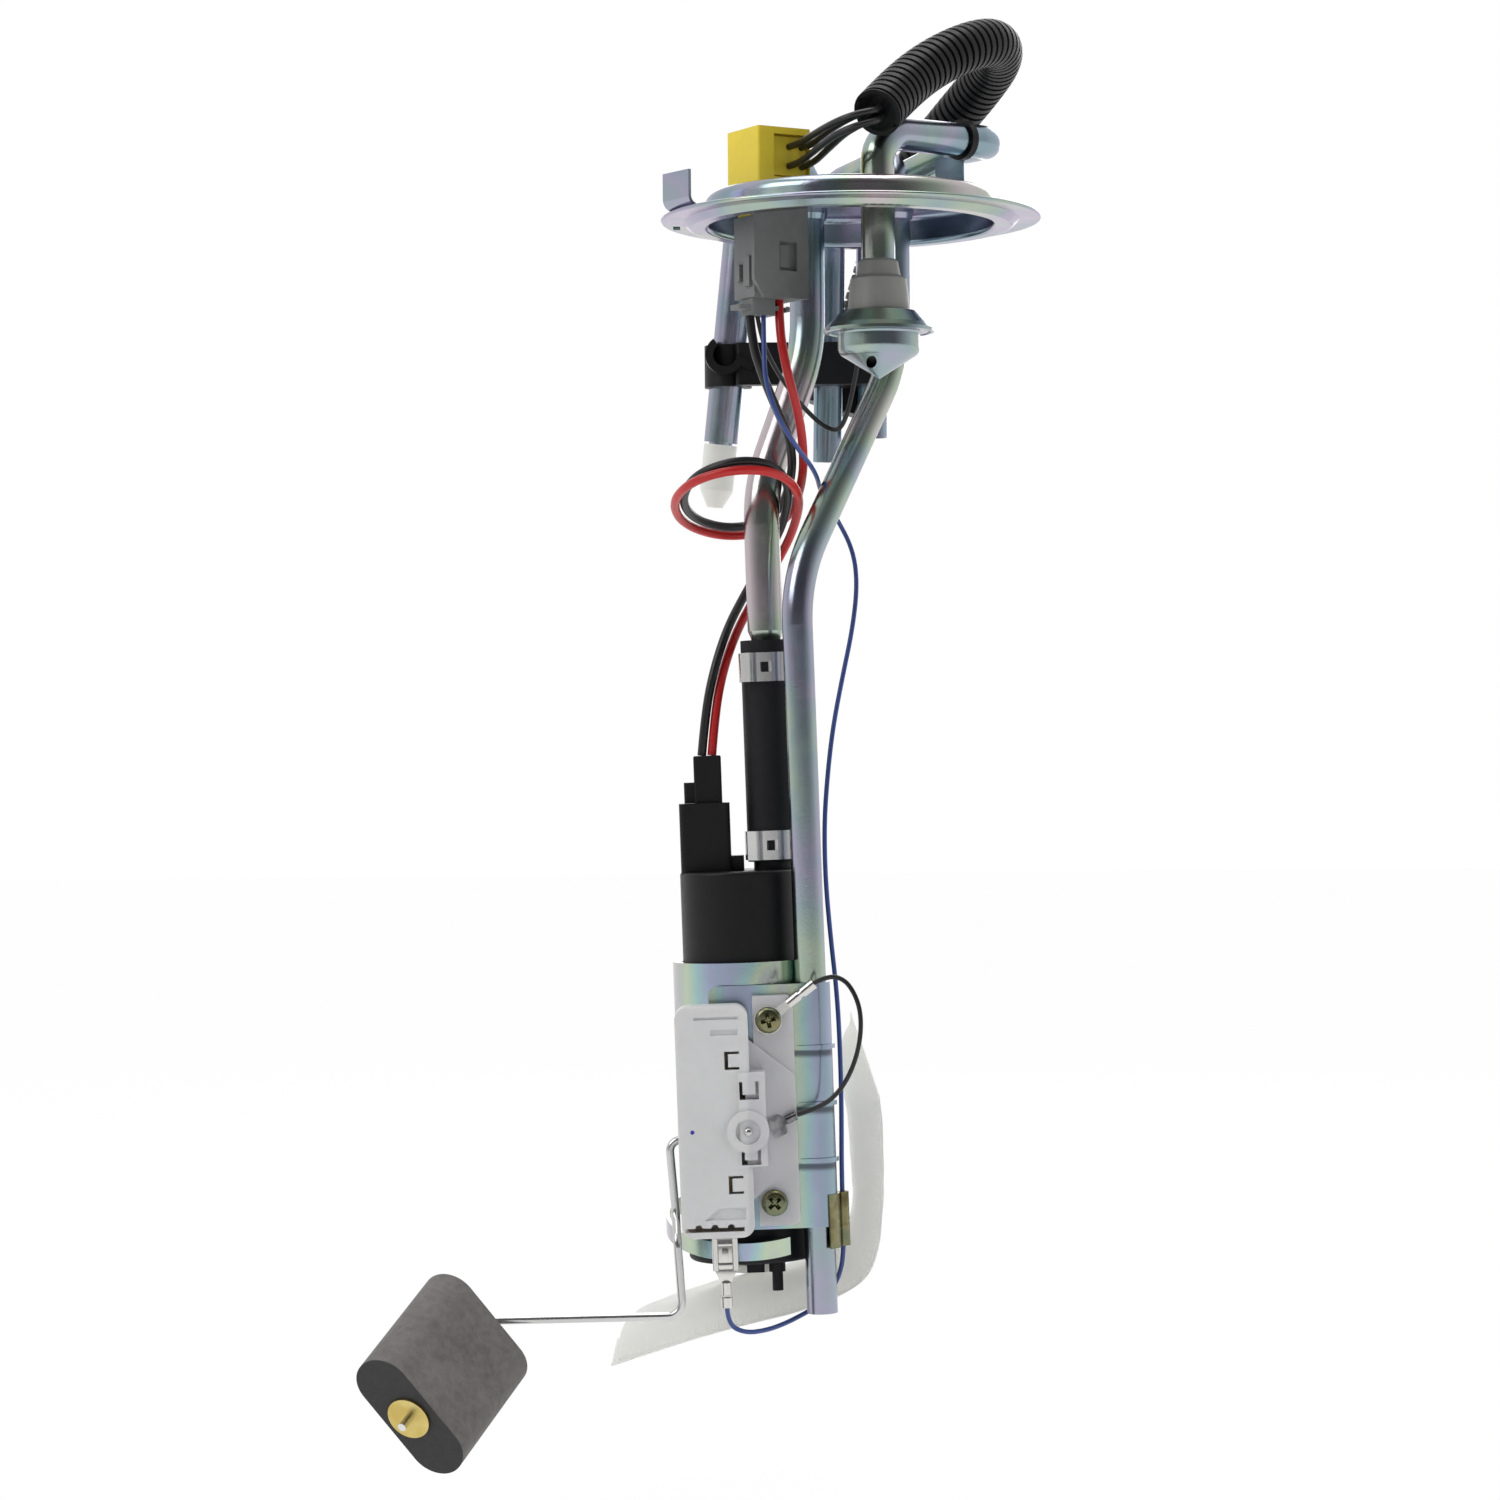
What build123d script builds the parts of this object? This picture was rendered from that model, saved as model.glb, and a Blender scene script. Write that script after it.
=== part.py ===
from build123d import *

import os
from math import atan2, cos, degrees, radians, sin, sqrt, tan

os.makedirs("parts", exist_ok=True)

# Fuel pump module that hangs from a flange in the top of a fuel tank. Millimetres, +Z up.
# The origin is the centre of the flange's sealing face. +X is right as seen from the sender.

# Driving dimensions of the flange
sheet = 1.2
flange_radius = 60.0
dome_radius = 46.0
dome_height = 8.7
bead_run = 2.4
bead_radius = dome_radius + bead_run
bead_depth = 2.0
roof_hole_clearance = 0.15

# Tubes: outer radii, wall and where each one passes the flange
tube_wall = 0.9
supply_radius = 5.7
return_radius = 4.85
vent_radius = 5.25
supply_end_radius = 4.0
supply_x, supply_y = -13.5, 28.0
return_x, return_y = 15.0, 28.0
vent_x, vent_y = 7.8, -20.0
collar_height = 3.0
collar_width = 1.1

# The lower assembly hangs a little askew, on its own frame whose w axis is the pump's axis
hang_x, hang_y, hang_z = -36.0, 14.0, -240.0
hang_tilt = 1.6
outlet_offset = 11.1
return_offset = 21.1

# Pump
pump_radius = 18.5
pump_wall = 1.0
cap_overhang = 0.5
cap_radius = pump_radius + cap_overhang
cap_top = 35.4
cap_bottom = 6.7
pump_bottom = -82.0
tower_left, tower_right = -18.5, -2.4
tower_depth = 12.0
tower_top = 57.2
shaft_radius = 2.0
running_gap = 0.05

# Bracket
cushion_wall = 2.6
sleeve_top = 7.0
sleeve_bottom = -70.0
plate_left = -11.1
plate_bottom = -76.5

# Level sender
sender_left, sender_right = -21.7, 0.9
sender_top, sender_bottom = -5.0, -76.7
sender_depth = 11.5
sender_wall = 1.5
arm_space = 5.0
ear_right = 15.1
ear_top, ear_bottom = -3.2, -74.6
ear_thickness = 6.0
screw_radius = 2.0
screw_head_radius = 4.1
screw_u = 7.3
screw_w_top, screw_w_bottom = -10.6, -67.5
pivot_u, pivot_w = -0.1, -44.0

# Float and its arm
wire_rod_radius = 1.3
float_width = 43.0
float_thickness = 18.2
float_length = 47.0
float_clearance = 0.1
washer_radius = 6.8

# Hose and clamps
hose_radius = 8.2
hose_top, hose_bottom = 108.4, 38.0
clamp_width = 9.2
clamp_sheet = 0.8

# Free wires
pump_wire_radius = 1.45
thin_wire_radius = 0.75
loom_radius = 7.75


def unit(vector):
    return Vector(*vector).normalized()


def cord_radii(points):
    """Bend radius at each corner of a route: as large as its two runs allow."""
    radii = []
    for before, corner, after in zip(points, points[1:], points[2:]):
        first = Vector(*corner) - Vector(*before)
        second = Vector(*after) - Vector(*corner)
        half_turn = radians(first.get_angle(second)) / 2
        radii.append(0.45 * min(first.length, second.length) / tan(half_turn))
    return radii


def cord_solid(name, points, radius):
    """A plain round cord along straight runs joined by tangent arcs."""
    radii = cord_radii(points)
    with BuildPart() as cord:
        with BuildLine() as route:
            FilletPolyline(*points, radius=radii)
        with BuildSketch(Plane(origin=route.line @ 0, z_dir=route.line % 0)):
            Circle(radius)
        sweep()
    length = route.wires()[0].length
    ratio = cord.part.volume / (3.14159265 * radius**2 * length)
    print(f"{name}: length {length:.1f}, tightest bend {min(radii):.1f}, volume ratio {ratio:.4f}")
    cord.part.label = name
    return cord.part


# Frame of the hanging assembly
tilt = radians(hang_tilt)
hung = Plane(
    origin=(hang_x, hang_y, hang_z),
    x_dir=(cos(tilt), 0, sin(tilt)),
    z_dir=(-sin(tilt), 0, cos(tilt)),
)


def hung_point(u, v, w):
    """A point of the hanging assembly in the module's own frame."""
    point = hung.from_local_coords(Vector(u, v, w))
    return (point.X, point.Y, point.Z)


# Values shared by pieces that touch
roof_under = dome_height - sheet
sleeve_inner = pump_radius + cushion_wall
sleeve_radius = sleeve_inner + sheet
plate_back = -sleeve_radius
plate_front = plate_back - sheet
return_v = plate_back + return_radius
sender_rear = plate_front - arm_space
sender_front = sender_rear - sender_depth
arm_v = plate_front - arm_space / 2
arm_y = hang_y + arm_v
connector_angle = 31.0
connector_x, connector_y = -25.8, -6.7
connector_size = 19.2
connector_top = 27.6
boss_x, boss_y = 17.4, 10.6
boss_bottom = 0.4

# Flange: dome, locating bead and rim, spun from one sheet
rim_middle = sheet / 2
wall_middle = dome_radius - sheet / 2
with BuildPart() as flange_plate:
    with BuildSketch(Plane.XZ):
        with BuildLine():
            FilletPolyline(
                (0, dome_height - sheet / 2),
                (wall_middle, dome_height - sheet / 2),
                (wall_middle, rim_middle - bead_depth),
                (bead_radius + 2.2, rim_middle - bead_depth),
                (bead_radius + 4.4, rim_middle),
                (flange_radius - sheet / 2, rim_middle),
                radius=[2.6, 0.9, 0.9, 0.9],
            )
            offset(amount=sheet / 2, side=Side.BOTH)
        make_face()
        with Locations((-flange_radius, 0)):
            Rectangle(2 * flange_radius, 60, mode=Mode.SUBTRACT)
    revolve(axis=Axis.Z)
    with BuildSketch(Plane.XY):
        with Locations((supply_x, supply_y)):
            Circle(supply_radius + roof_hole_clearance)
        with Locations((return_x, return_y)):
            Circle(return_radius + roof_hole_clearance)
        with Locations((vent_x, vent_y)):
            Circle(vent_radius + roof_hole_clearance)
        with Locations(Location((connector_x, connector_y, 0), connector_angle)):
            RectangleRounded(boss_x + 0.3, boss_y + 0.3, 1.5)
    extrude(amount=dome_height + 1, mode=Mode.SUBTRACT)
    with Locations((-flange_radius + 4.8, 10.5, 0)):
        Box(2.2, 9.5, 4 * sheet, mode=Mode.SUBTRACT)
flange_plate.part.label = "flange_plate"
export_step(flange_plate.part, "parts/flange_plate.step")

# Index tab at the left front: a strip spot-welded on the rim that turns up outside it
tab_width = 13.6
tab_sheet = 1.0
tab_wall_gap = 2.0
tab_leg = flange_radius - dome_radius - tab_wall_gap
tab_top = 12.6
tab_inward = Vector(0.8, 0.6, 0)
tab_inset = 0.41938
tab_place = unit((-54.4, -24.3, 0)) * (flange_radius - tab_inset)
tab_profile = Plane(origin=tab_place, x_dir=-tab_inward, z_dir=(-0.6, 0.8, 0))
with BuildPart() as index_tab:
    with BuildSketch(tab_profile.offset(-tab_width / 2)):
        with BuildLine():
            FilletPolyline(
                (-tab_leg, sheet + tab_sheet / 2),
                (0, sheet + tab_sheet / 2),
                (0, tab_top),
                radius=3.0,
            )
        trace(line_width=tab_sheet)
    extrude(amount=tab_width)
index_tab.part.label = "index_tab"
export_step(index_tab.part, "parts/index_tab.step")

# Support tab at the right rear of the dome, which carries the vent tube's far end
vent_far = (45.5, 15.0, 27.0)
with BuildPart() as vent_support:
    with BuildSketch(Plane(origin=(32.6, 22.0, dome_height), x_dir=(0.95, -0.3, 0), z_dir=(0, 0, 1))):
        Rectangle(9.5, 1.2)
    extrude(amount=vent_far[2] - vent_radius - dome_height + 1.5)
vent_support.part.label = "vent_support"
export_step(vent_support.part, "parts/vent_support.step")


def bent_tube(points, radii, outer):
    """A bent steel tube with an open bore."""
    with BuildPart() as tube:
        with BuildLine() as route:
            FilletPolyline(*points, radius=radii)
        with BuildSketch(Plane(origin=route.line @ 0, z_dir=route.line % 0)):
            Circle(outer)
            Circle(outer - tube_wall, mode=Mode.SUBTRACT)
        sweep()
    return tube.part


def weld_collar(x, y, tube_radius):
    """The brazed collar that joins a tube to the underside of the dome."""
    with BuildPart() as collar:
        with BuildSketch(Plane(origin=(x, y, 0), x_dir=(1, 0, 0), z_dir=(0, -1, 0))):
            with BuildLine():
                Polyline(
                    (tube_radius, roof_under),
                    (tube_radius, roof_under - collar_height),
                    (tube_radius + collar_width * 0.5, roof_under - collar_height),
                    (tube_radius + collar_width, roof_under - 1.2),
                    (tube_radius + collar_width, roof_under),
                    close=True,
                )
            make_face()
        revolve(axis=Axis((x, y, 0), (0, 0, 1)))
    return collar.part


# Supply tube: from the pump's hose up through the dome, over its edge and down behind it
hose_grip = 16.0
supply_foot = hung_point(outlet_offset, 0, hose_top - hose_grip)
supply_neck = hung_point(outlet_offset, 0, hose_top + 3.0)
supply_knee = hung_point(outlet_offset, 0, 157.0)
supply_rear_top = (-33.5, 71.0, 19.0)
supply_rear_end = (-42.0, 75.0, -62.0)
rear_direction = unit(
    (
        supply_rear_end[0] - supply_rear_top[0],
        supply_rear_end[1] - supply_rear_top[1],
        supply_rear_end[2] - supply_rear_top[2],
    )
)
with BuildPart() as supply_tube:
    add(
        bent_tube(
            [
                supply_neck,
                supply_knee,
                (supply_x, supply_y, -38.0),
                (supply_x, supply_y, 23.0),
                supply_rear_top,
                supply_rear_end,
            ],
            [50.0, 50.0, 11.0, 13.0],
            supply_radius,
        )
    )
    add(weld_collar(supply_x, supply_y, supply_radius))
    hose_spigot = Plane(origin=supply_foot, x_dir=hung.x_dir, z_dir=hung.z_dir)
    with BuildSketch(hose_spigot):
        Circle(supply_radius - 1.1)
        Circle(supply_radius - 2.0, mode=Mode.SUBTRACT)
    extrude(amount=hose_grip)
    with BuildSketch(hose_spigot.offset(hose_grip)):
        Circle(supply_radius - 1.1)
        Circle(supply_radius - 2.0, mode=Mode.SUBTRACT)
    with BuildSketch(hose_spigot.offset(hose_grip + 3.0)):
        Circle(supply_radius)
        Circle(supply_radius - tube_wall, mode=Mode.SUBTRACT)
    loft()
    rear_end = Plane(origin=supply_rear_end, x_dir=(0, 1, 0), z_dir=rear_direction)
    with BuildSketch(rear_end):
        Circle(supply_radius)
        Circle(supply_end_radius - tube_wall, mode=Mode.SUBTRACT)
    extrude(amount=1.2)
    with BuildSketch(rear_end.offset(1.2)):
        Circle(supply_end_radius)
        Circle(supply_end_radius - tube_wall, mode=Mode.SUBTRACT)
    extrude(amount=16.0)
supply_tube.part.label = "supply_tube"
export_step(supply_tube.part, "parts/supply_tube.step")

# Return tube: behind the vent tube at the top, then along the bracket's right edge to its open end
return_top_bend = hung_point(return_offset, return_v, 127.5)
return_foot = hung_point(return_offset, return_v, -104.0)
return_rear_end = (-6.5, 75.0, -70.0)
with BuildPart() as return_tube:
    add(
        bent_tube(
            [
                return_foot,
                return_top_bend,
                (return_x, return_y, -40.0),
                (return_x, return_y, 25.0),
                (-4.5, 71.0, 22.0),
                return_rear_end,
            ],
            [50.0, 50.0, 10.0, 12.0],
            return_radius,
        )
    )
    add(weld_collar(return_x, return_y, return_radius))
return_tube.part.label = "return_tube"
export_step(return_tube.part, "parts/return_tube.step")

# Vent tube: short below the flange, with the rollover valve on it, and hooked over above it
vent_top = (vent_x, vent_y, 25.0)
valve_neck_top = -14.6
valve_grip = 9.0
vent_rear_end = (8.5, 75.0, -62.0)
with BuildPart() as vent_tube:
    add(
        bent_tube(
            [
                (vent_x, vent_y, valve_neck_top - valve_grip),
                vent_top,
                vent_far,
                (37.0, 43.0, 29.5),
                (9.0, 72.0, 19.0),
                vent_rear_end,
            ],
            [10.0, 12.0, 14.0, 13.0],
            vent_radius,
        )
    )
    add(weld_collar(vent_x, vent_y, vent_radius))
vent_tube.part.label = "vent_tube"
export_step(vent_tube.part, "parts/vent_tube.step")

# Rollover vent valve on the vent tube
valve = Plane(origin=(vent_x, vent_y, 0), x_dir=(1, 0, 0), z_dir=(0, -1, 0))
valve_axis = Axis((vent_x, vent_y, 0), (0, 0, 1))
neck_radius = 6.9
cone_radius = 8.8
valve_body_bottom = -30.5
disc_radius = 17.2
disc_z = -36.4
hood_radius = 12.9
hood_bottom = -43.4
hood_tip = -51.2
with BuildPart() as valve_body:
    with BuildSketch(valve):
        with BuildLine():
            Polyline(
                (vent_radius, valve_neck_top),
                (neck_radius - 1.6, valve_neck_top),
                (neck_radius - 0.8, valve_neck_top - 0.8),
                (neck_radius, valve_neck_top - 5.0),
                (cone_radius, valve_neck_top - 6.2),
                (cone_radius + 0.9, valve_body_bottom),
                (cone_radius + 0.9, valve_body_bottom - 0.8),
                (hood_radius - 1.4, valve_body_bottom - 1.3),
                (hood_radius - 1.4, valve_body_bottom - 4.5),
                (4.0, valve_body_bottom - 4.5),
                (2.2, valve_body_bottom - 2.5),
                (2.2, valve_neck_top - valve_grip),
                (vent_radius, valve_neck_top - valve_grip),
                close=True,
            )
        make_face()
    revolve(axis=valve_axis)
valve_body.part.label = "valve_body"
export_step(valve_body.part, "parts/valve_body.step")

seat_z = valve_body_bottom - 4.5
with BuildPart() as valve_disc:
    with BuildSketch(valve):
        with BuildLine():
            Polyline(
                (cone_radius + 1.3, valve_body_bottom + 0.2),
                (hood_radius - 0.8, valve_body_bottom - 0.4),
                (disc_radius - 1.2, disc_z + 1.6),
                (disc_radius, disc_z + 0.2),
                (disc_radius, disc_z - 0.8),
                (disc_radius - 1.0, disc_z - 1.0),
                (disc_radius - 1.6, disc_z + 0.2),
                (hood_radius - 0.6, disc_z + 0.2),
                (hood_radius - 0.6, valve_body_bottom - 1.4),
                (cone_radius + 2.0, valve_body_bottom - 0.6),
                (cone_radius + 1.3, valve_body_bottom - 0.55),
                close=True,
            )
        make_face()
    revolve(axis=valve_axis)
valve_disc.part.label = "valve_disc"
export_step(valve_disc.part, "parts/valve_disc.step")

# Hood: a drawn cup with a rolled brim, closed by a cone that has one side vent
with BuildPart() as valve_hood:
    with BuildSketch(valve):
        with BuildLine():
            FilletPolyline(
                (disc_radius - 2.2, disc_z - 0.4),
                (hood_radius - 0.5, disc_z - 0.4),
                (hood_radius - 0.5, hood_bottom),
                (0, hood_tip),
                radius=[1.2, 3.0],
            )
            offset(amount=0.4, side=Side.BOTH)
        make_face()
        with Locations((-20, -40)):
            Rectangle(40, 40, mode=Mode.SUBTRACT)
    revolve(axis=valve_axis)
    with BuildSketch(Plane(origin=(vent_x - 2.6, vent_y, hood_tip + 4.2), x_dir=(1, 0, 0), z_dir=(0, -1, 0))):
        Circle(1.6)
    extrude(amount=20, mode=Mode.SUBTRACT)
valve_hood.part.label = "valve_hood"
export_step(valve_hood.part, "parts/valve_hood.step")

# Float inside the hood, which lifts against the seat when fuel rises in the valve
valve_travel = 1.5
with BuildPart() as valve_float:
    with BuildSketch(valve):
        with BuildLine():
            Polyline(
                (0, seat_z - valve_travel + 2.6),
                (3.2, seat_z - valve_travel - 0.1),
                (hood_radius - 2.2, seat_z - valve_travel - 0.1),
                (hood_radius - 2.2, hood_bottom + 0.2),
                (0, hood_tip + 1.8),
                close=True,
            )
        make_face()
    revolve(axis=valve_axis)
valve_float.part.label = "valve_float"
export_step(valve_float.part, "parts/valve_float.step")

# Electrical pass-through in the dome
through = Plane(
    origin=(connector_x, connector_y, 0),
    x_dir=(cos(radians(connector_angle)), sin(radians(connector_angle)), 0),
    z_dir=(0, 0, 1),
)
half = connector_size / 2
pin_x_step, pin_y_step = 5.4, 4.4
pin_width, pin_thickness = 2.2, 0.8
pin_reach = 5.0
harness_face = Plane(
    origin=through.from_local_coords((2.6, -half, 18.8)),
    x_dir=through.x_dir,
    z_dir=-through.y_dir,
)


def pin_holes(extra):
    with GridLocations(pin_x_step, pin_y_step, 2, 2):
        Rectangle(pin_width + extra, pin_thickness + extra)


with BuildPart() as connector_body:
    with BuildSketch(through.offset(dome_height)):
        RectangleRounded(connector_size, connector_size, 0.8)
    extrude(amount=connector_top - dome_height)
    with BuildSketch(through.offset(boss_bottom)):
        RectangleRounded(boss_x, boss_y, 1.4)
    extrude(amount=dome_height - boss_bottom)
    with BuildSketch(through.offset(boss_bottom)):
        pin_holes(0.1)
    extrude(amount=pin_reach, mode=Mode.SUBTRACT)
    # Recess in the right face where the harness wires leave, with the wire block set back in it
    with BuildSketch(harness_face):
        Rectangle(13.0, 13.4)
    extrude(amount=-3.2, mode=Mode.SUBTRACT)
    with BuildSketch(harness_face.offset(-3.2)):
        Rectangle(11.6, 12.0)
    extrude(amount=2.0)
connector_body.part.label = "connector_body"
export_step(connector_body.part, "parts/connector_body.step")

# Four terminals that carry the circuits through the dome
with BuildPart() as connector_pins:
    with BuildSketch(through.offset(boss_bottom - pin_reach)):
        pin_holes(0)
    extrude(amount=2 * pin_reach)
connector_pins.part.label = "connector_pins"
export_step(connector_pins.part, "parts/connector_pins.step")

# Grey connector on the tank side, with a latched front plate and a window for the latch
tank_x, tank_y = 18.0, 12.0
tank_bottom = -25.2
plate_x = 19.8
lock_place = (-4.0, 0.6)
lock_x, lock_y = 9.0, 7.4
red_exit = (3.0, -0.4)
with BuildPart() as tank_connector:
    with BuildSketch(through.offset(tank_bottom)):
        with Locations((0, 0.6)):
            Rectangle(tank_x, tank_y)
    extrude(amount=boss_bottom - tank_bottom)
    with BuildSketch(Plane(origin=through.from_local_coords((0, -5.4, 0)), x_dir=through.x_dir, z_dir=-through.y_dir)):
        with BuildLine():
            Polyline(
                (-plate_x / 2 + 3.4, tank_bottom),
                (plate_x / 2, tank_bottom),
                (plate_x / 2, roof_under - 1.0),
                (-plate_x / 2, roof_under - 1.0),
                (-plate_x / 2, tank_bottom + 5.4),
                close=True,
            )
        make_face()
        with Locations((2.6, -12.2)):
            Rectangle(6.4, 9.0, mode=Mode.SUBTRACT)
    extrude(amount=1.7)
    # Latch tongue in the window, and the clip along the left face
    with BuildSketch(Plane(origin=through.from_local_coords((1.6, -5.4, -12.2)), x_dir=through.x_dir, z_dir=-through.y_dir)):
        Rectangle(3.4, 7.0)
    extrude(amount=1.1)
    with BuildSketch(Plane(origin=through.from_local_coords((-tank_x / 2, 2.4, -17.2)), x_dir=-through.y_dir, z_dir=-through.x_dir)):
        RectangleRounded(3.0, 5.4, 0.8)
    extrude(amount=1.6)
    with BuildSketch(Plane(origin=through.from_local_coords((-tank_x / 2, -2.4, -17.0)), x_dir=-through.y_dir, z_dir=-through.x_dir)):
        Rectangle(3.6, 9.4)
    extrude(amount=1.1)
    with BuildSketch(through.offset(boss_bottom)):
        pin_holes(0.1)
    extrude(amount=-pin_reach, mode=Mode.SUBTRACT)
    with BuildSketch(through.offset(tank_bottom)):
        with Locations(lock_place):
            Rectangle(lock_x + 0.2, lock_y + 0.2)
    extrude(amount=6.0, mode=Mode.SUBTRACT)
tank_connector.part.label = "tank_connector"
export_step(tank_connector.part, "parts/tank_connector.step")

# Secondary lock plugged into its lower end, with two wings
lock_bottom = -30.4
with BuildPart() as tank_lock:
    with BuildSketch(through.offset(lock_bottom)):
        with Locations(lock_place):
            RectangleRounded(lock_x, lock_y, 1.0)
    extrude(amount=tank_bottom + 6.0 - lock_bottom - 0.2)
    with BuildSketch(through.offset(tank_bottom - 3.6)):
        with Locations((-3.2, 0.6)):
            RectangleRounded(19.0, 6.2, 1.2)
    extrude(amount=1.5)
    with BuildSketch(through.offset(lock_bottom)):
        with Locations(red_exit):
            Circle(pump_wire_radius + 1.0)
    extrude(amount=tank_bottom - lock_bottom, mode=Mode.SUBTRACT)
tank_lock.part.label = "tank_lock"
export_step(tank_lock.part, "parts/tank_lock.step")

# Fuel hose between the supply tube and the pump's outlet
with BuildPart() as fuel_hose:
    with BuildSketch(Plane.XY.offset(hose_bottom)):
        with Locations((outlet_offset, 0)):
            Circle(hose_radius)
            Circle(supply_radius - 1.1, mode=Mode.SUBTRACT)
    extrude(amount=hose_top - hose_bottom)
fuel_hose.part.label = "fuel_hose"
fuel_hose.part.locate(hung.location)
export_step(fuel_hose.part, "parts/fuel_hose.step")


def hose_clamp(name, height):
    """A stepless ear clamp: a thin band round the hose with one pinched ear."""
    with BuildPart() as clamp:
        with BuildSketch(Plane.XY.offset(height)):
            with Locations((outlet_offset, 0)):
                Circle(hose_radius + clamp_sheet)
                Circle(hose_radius, mode=Mode.SUBTRACT)
        extrude(amount=clamp_width)
        ear = Plane(origin=(outlet_offset, 0, height), x_dir=(0.79, -0.61, 0), z_dir=(0, 0, 1))
        with BuildSketch(ear):
            with Locations((0, -hose_radius - clamp_sheet - 0.9)):
                RectangleRounded(4.6, 2.6, 0.7)
                Rectangle(2.6, 1.0, mode=Mode.SUBTRACT)
        extrude(amount=clamp_width)
        with BuildSketch(ear.offset(clamp_width / 2 - 1.6)):
            with Locations((5.2, -hose_radius)):
                Rectangle(3.0, 4.0)
        extrude(amount=3.2, mode=Mode.SUBTRACT)
    clamp.part.label = name
    clamp.part.locate(hung.location)
    export_step(clamp.part, f"parts/{name}.step")


hose_clamp("hose_clamp_upper", 95.2)
hose_clamp("hose_clamp_lower", 38.6)

# Pump: top cap with its socket tower and the outlet
outlet_radius = supply_radius - 1.1
cap_skirt = 5.0
poppet_radius = 2.4
bearing_top = 18.0
with BuildPart() as pump_cap:
    with BuildSketch(Plane.XY.offset(cap_bottom)):
        Circle(cap_radius)
    extrude(amount=cap_top - cap_bottom)
    fillet(pump_cap.edges().group_by(Axis.Z)[-1], 1.0)
    tower_width = tower_right - tower_left
    tower_middle = (tower_right + tower_left) / 2
    plug_u = tower_middle + 1.4
    step_left = -3.0
    step_right = outlet_offset - hose_radius - clamp_sheet - 0.5
    with BuildSketch(Plane.XY.offset(cap_top - 6.0)):
        with Locations((tower_middle, 0)):
            RectangleRounded(tower_width, tower_depth, 1.6)
    extrude(amount=tower_top - cap_top + 6.0)
    with BuildSketch(Plane.XY.offset(cap_top - 1)):
        with Locations((step_left / 2 + step_right / 2, 0)):
            Rectangle(step_right - step_left, 8.0)
    extrude(amount=5.8)
    with BuildSketch(Plane.XY.offset(cap_top - 1)):
        with Locations((outlet_offset, 0)):
            Circle(6.4)
    extrude(amount=3.4)
    with BuildSketch(Plane.XY.offset(cap_top)):
        with Locations((outlet_offset, 0)):
            Circle(outlet_radius)
    extrude(amount=16.0)
    # Socket for the pump plug, and the bore with the check valve's seat
    with BuildSketch(Plane.XY.offset(tower_top)):
        with Locations((plug_u, 0)):
            RectangleRounded(9.0, 7.6, 0.8)
    extrude(amount=-15.0, mode=Mode.SUBTRACT)
    with BuildSketch(Plane.XY.offset(cap_bottom)):
        with Locations((outlet_offset, 0)):
            Circle(1.5)
    extrude(amount=60.0, mode=Mode.SUBTRACT)
    with BuildSketch(Plane.XY.offset(34.0)):
        with Locations((outlet_offset, 0)):
            Circle(poppet_radius + 0.4)
    extrude(amount=11.0, mode=Mode.SUBTRACT)
    # Upper shaft bearing, brush wells and the commutator's chamber
    with BuildSketch(Plane.XY.offset(cap_bottom)):
        Circle(8.4)
    extrude(amount=6.0, mode=Mode.SUBTRACT)
    with BuildSketch(Plane.XY.offset(cap_bottom)):
        Circle(shaft_radius + running_gap)
    extrude(amount=bearing_top - cap_bottom, mode=Mode.SUBTRACT)
    with BuildSketch(Plane.XY.offset(cap_bottom + 6.0)):
        with PolarLocations(5.2, 2):
            Rectangle(3.2, 5.2)
    extrude(amount=9.0, mode=Mode.SUBTRACT)
pump_cap.part.label = "pump_cap"
pump_cap.part.locate(hung.location)
export_step(pump_cap.part, "parts/pump_cap.step")

# Check valve in the outlet: a small poppet on its seat
with BuildPart() as check_valve:
    with BuildSketch(Plane.XZ):
        with BuildLine():
            Polyline(
                (outlet_offset, 34.1),
                (outlet_offset + poppet_radius, 34.1),
                (outlet_offset + poppet_radius, 35.4),
                (outlet_offset + 0.9, 37.2),
                (outlet_offset + 0.9, 40.0),
                (outlet_offset, 40.6),
                close=True,
            )
        make_face()
    revolve(axis=Axis((outlet_offset, 0, 0), (0, 0, 1)))
check_valve.part.label = "check_valve"
check_valve.part.locate(hung.location)
export_step(check_valve.part, "parts/check_valve.step")

# Plug of the pump's own lead, latched in the tower
plug_length = 30.0
with BuildPart() as pump_plug:
    with BuildSketch(Plane.XY.offset(tower_top - 14.9)):
        with Locations((plug_u, 0)):
            RectangleRounded(8.8, 7.4, 0.7)
    extrude(amount=plug_length)
    with BuildSketch(Plane.XY.offset(tower_top + 0.1)):
        with Locations((plug_u - 5.4, 0)):
            RectangleRounded(4.6, 5.0, 1.0)
    extrude(amount=6.6)
    fillet(pump_plug.edges().group_by(Axis.Z)[-1], 0.6)
pump_plug.part.label = "pump_plug"
pump_plug.part.locate(hung.location)
export_step(pump_plug.part, "parts/pump_plug.step")

# Steel case of the pump
with BuildPart() as pump_shell:
    with BuildSketch(Plane.XY.offset(pump_bottom)):
        Circle(pump_radius)
        Circle(pump_radius - pump_wall, mode=Mode.SUBTRACT)
    extrude(amount=cap_bottom - pump_bottom)
pump_shell.part.label = "pump_shell"
pump_shell.part.locate(hung.location)
export_step(pump_shell.part, "parts/pump_shell.step")

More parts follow.
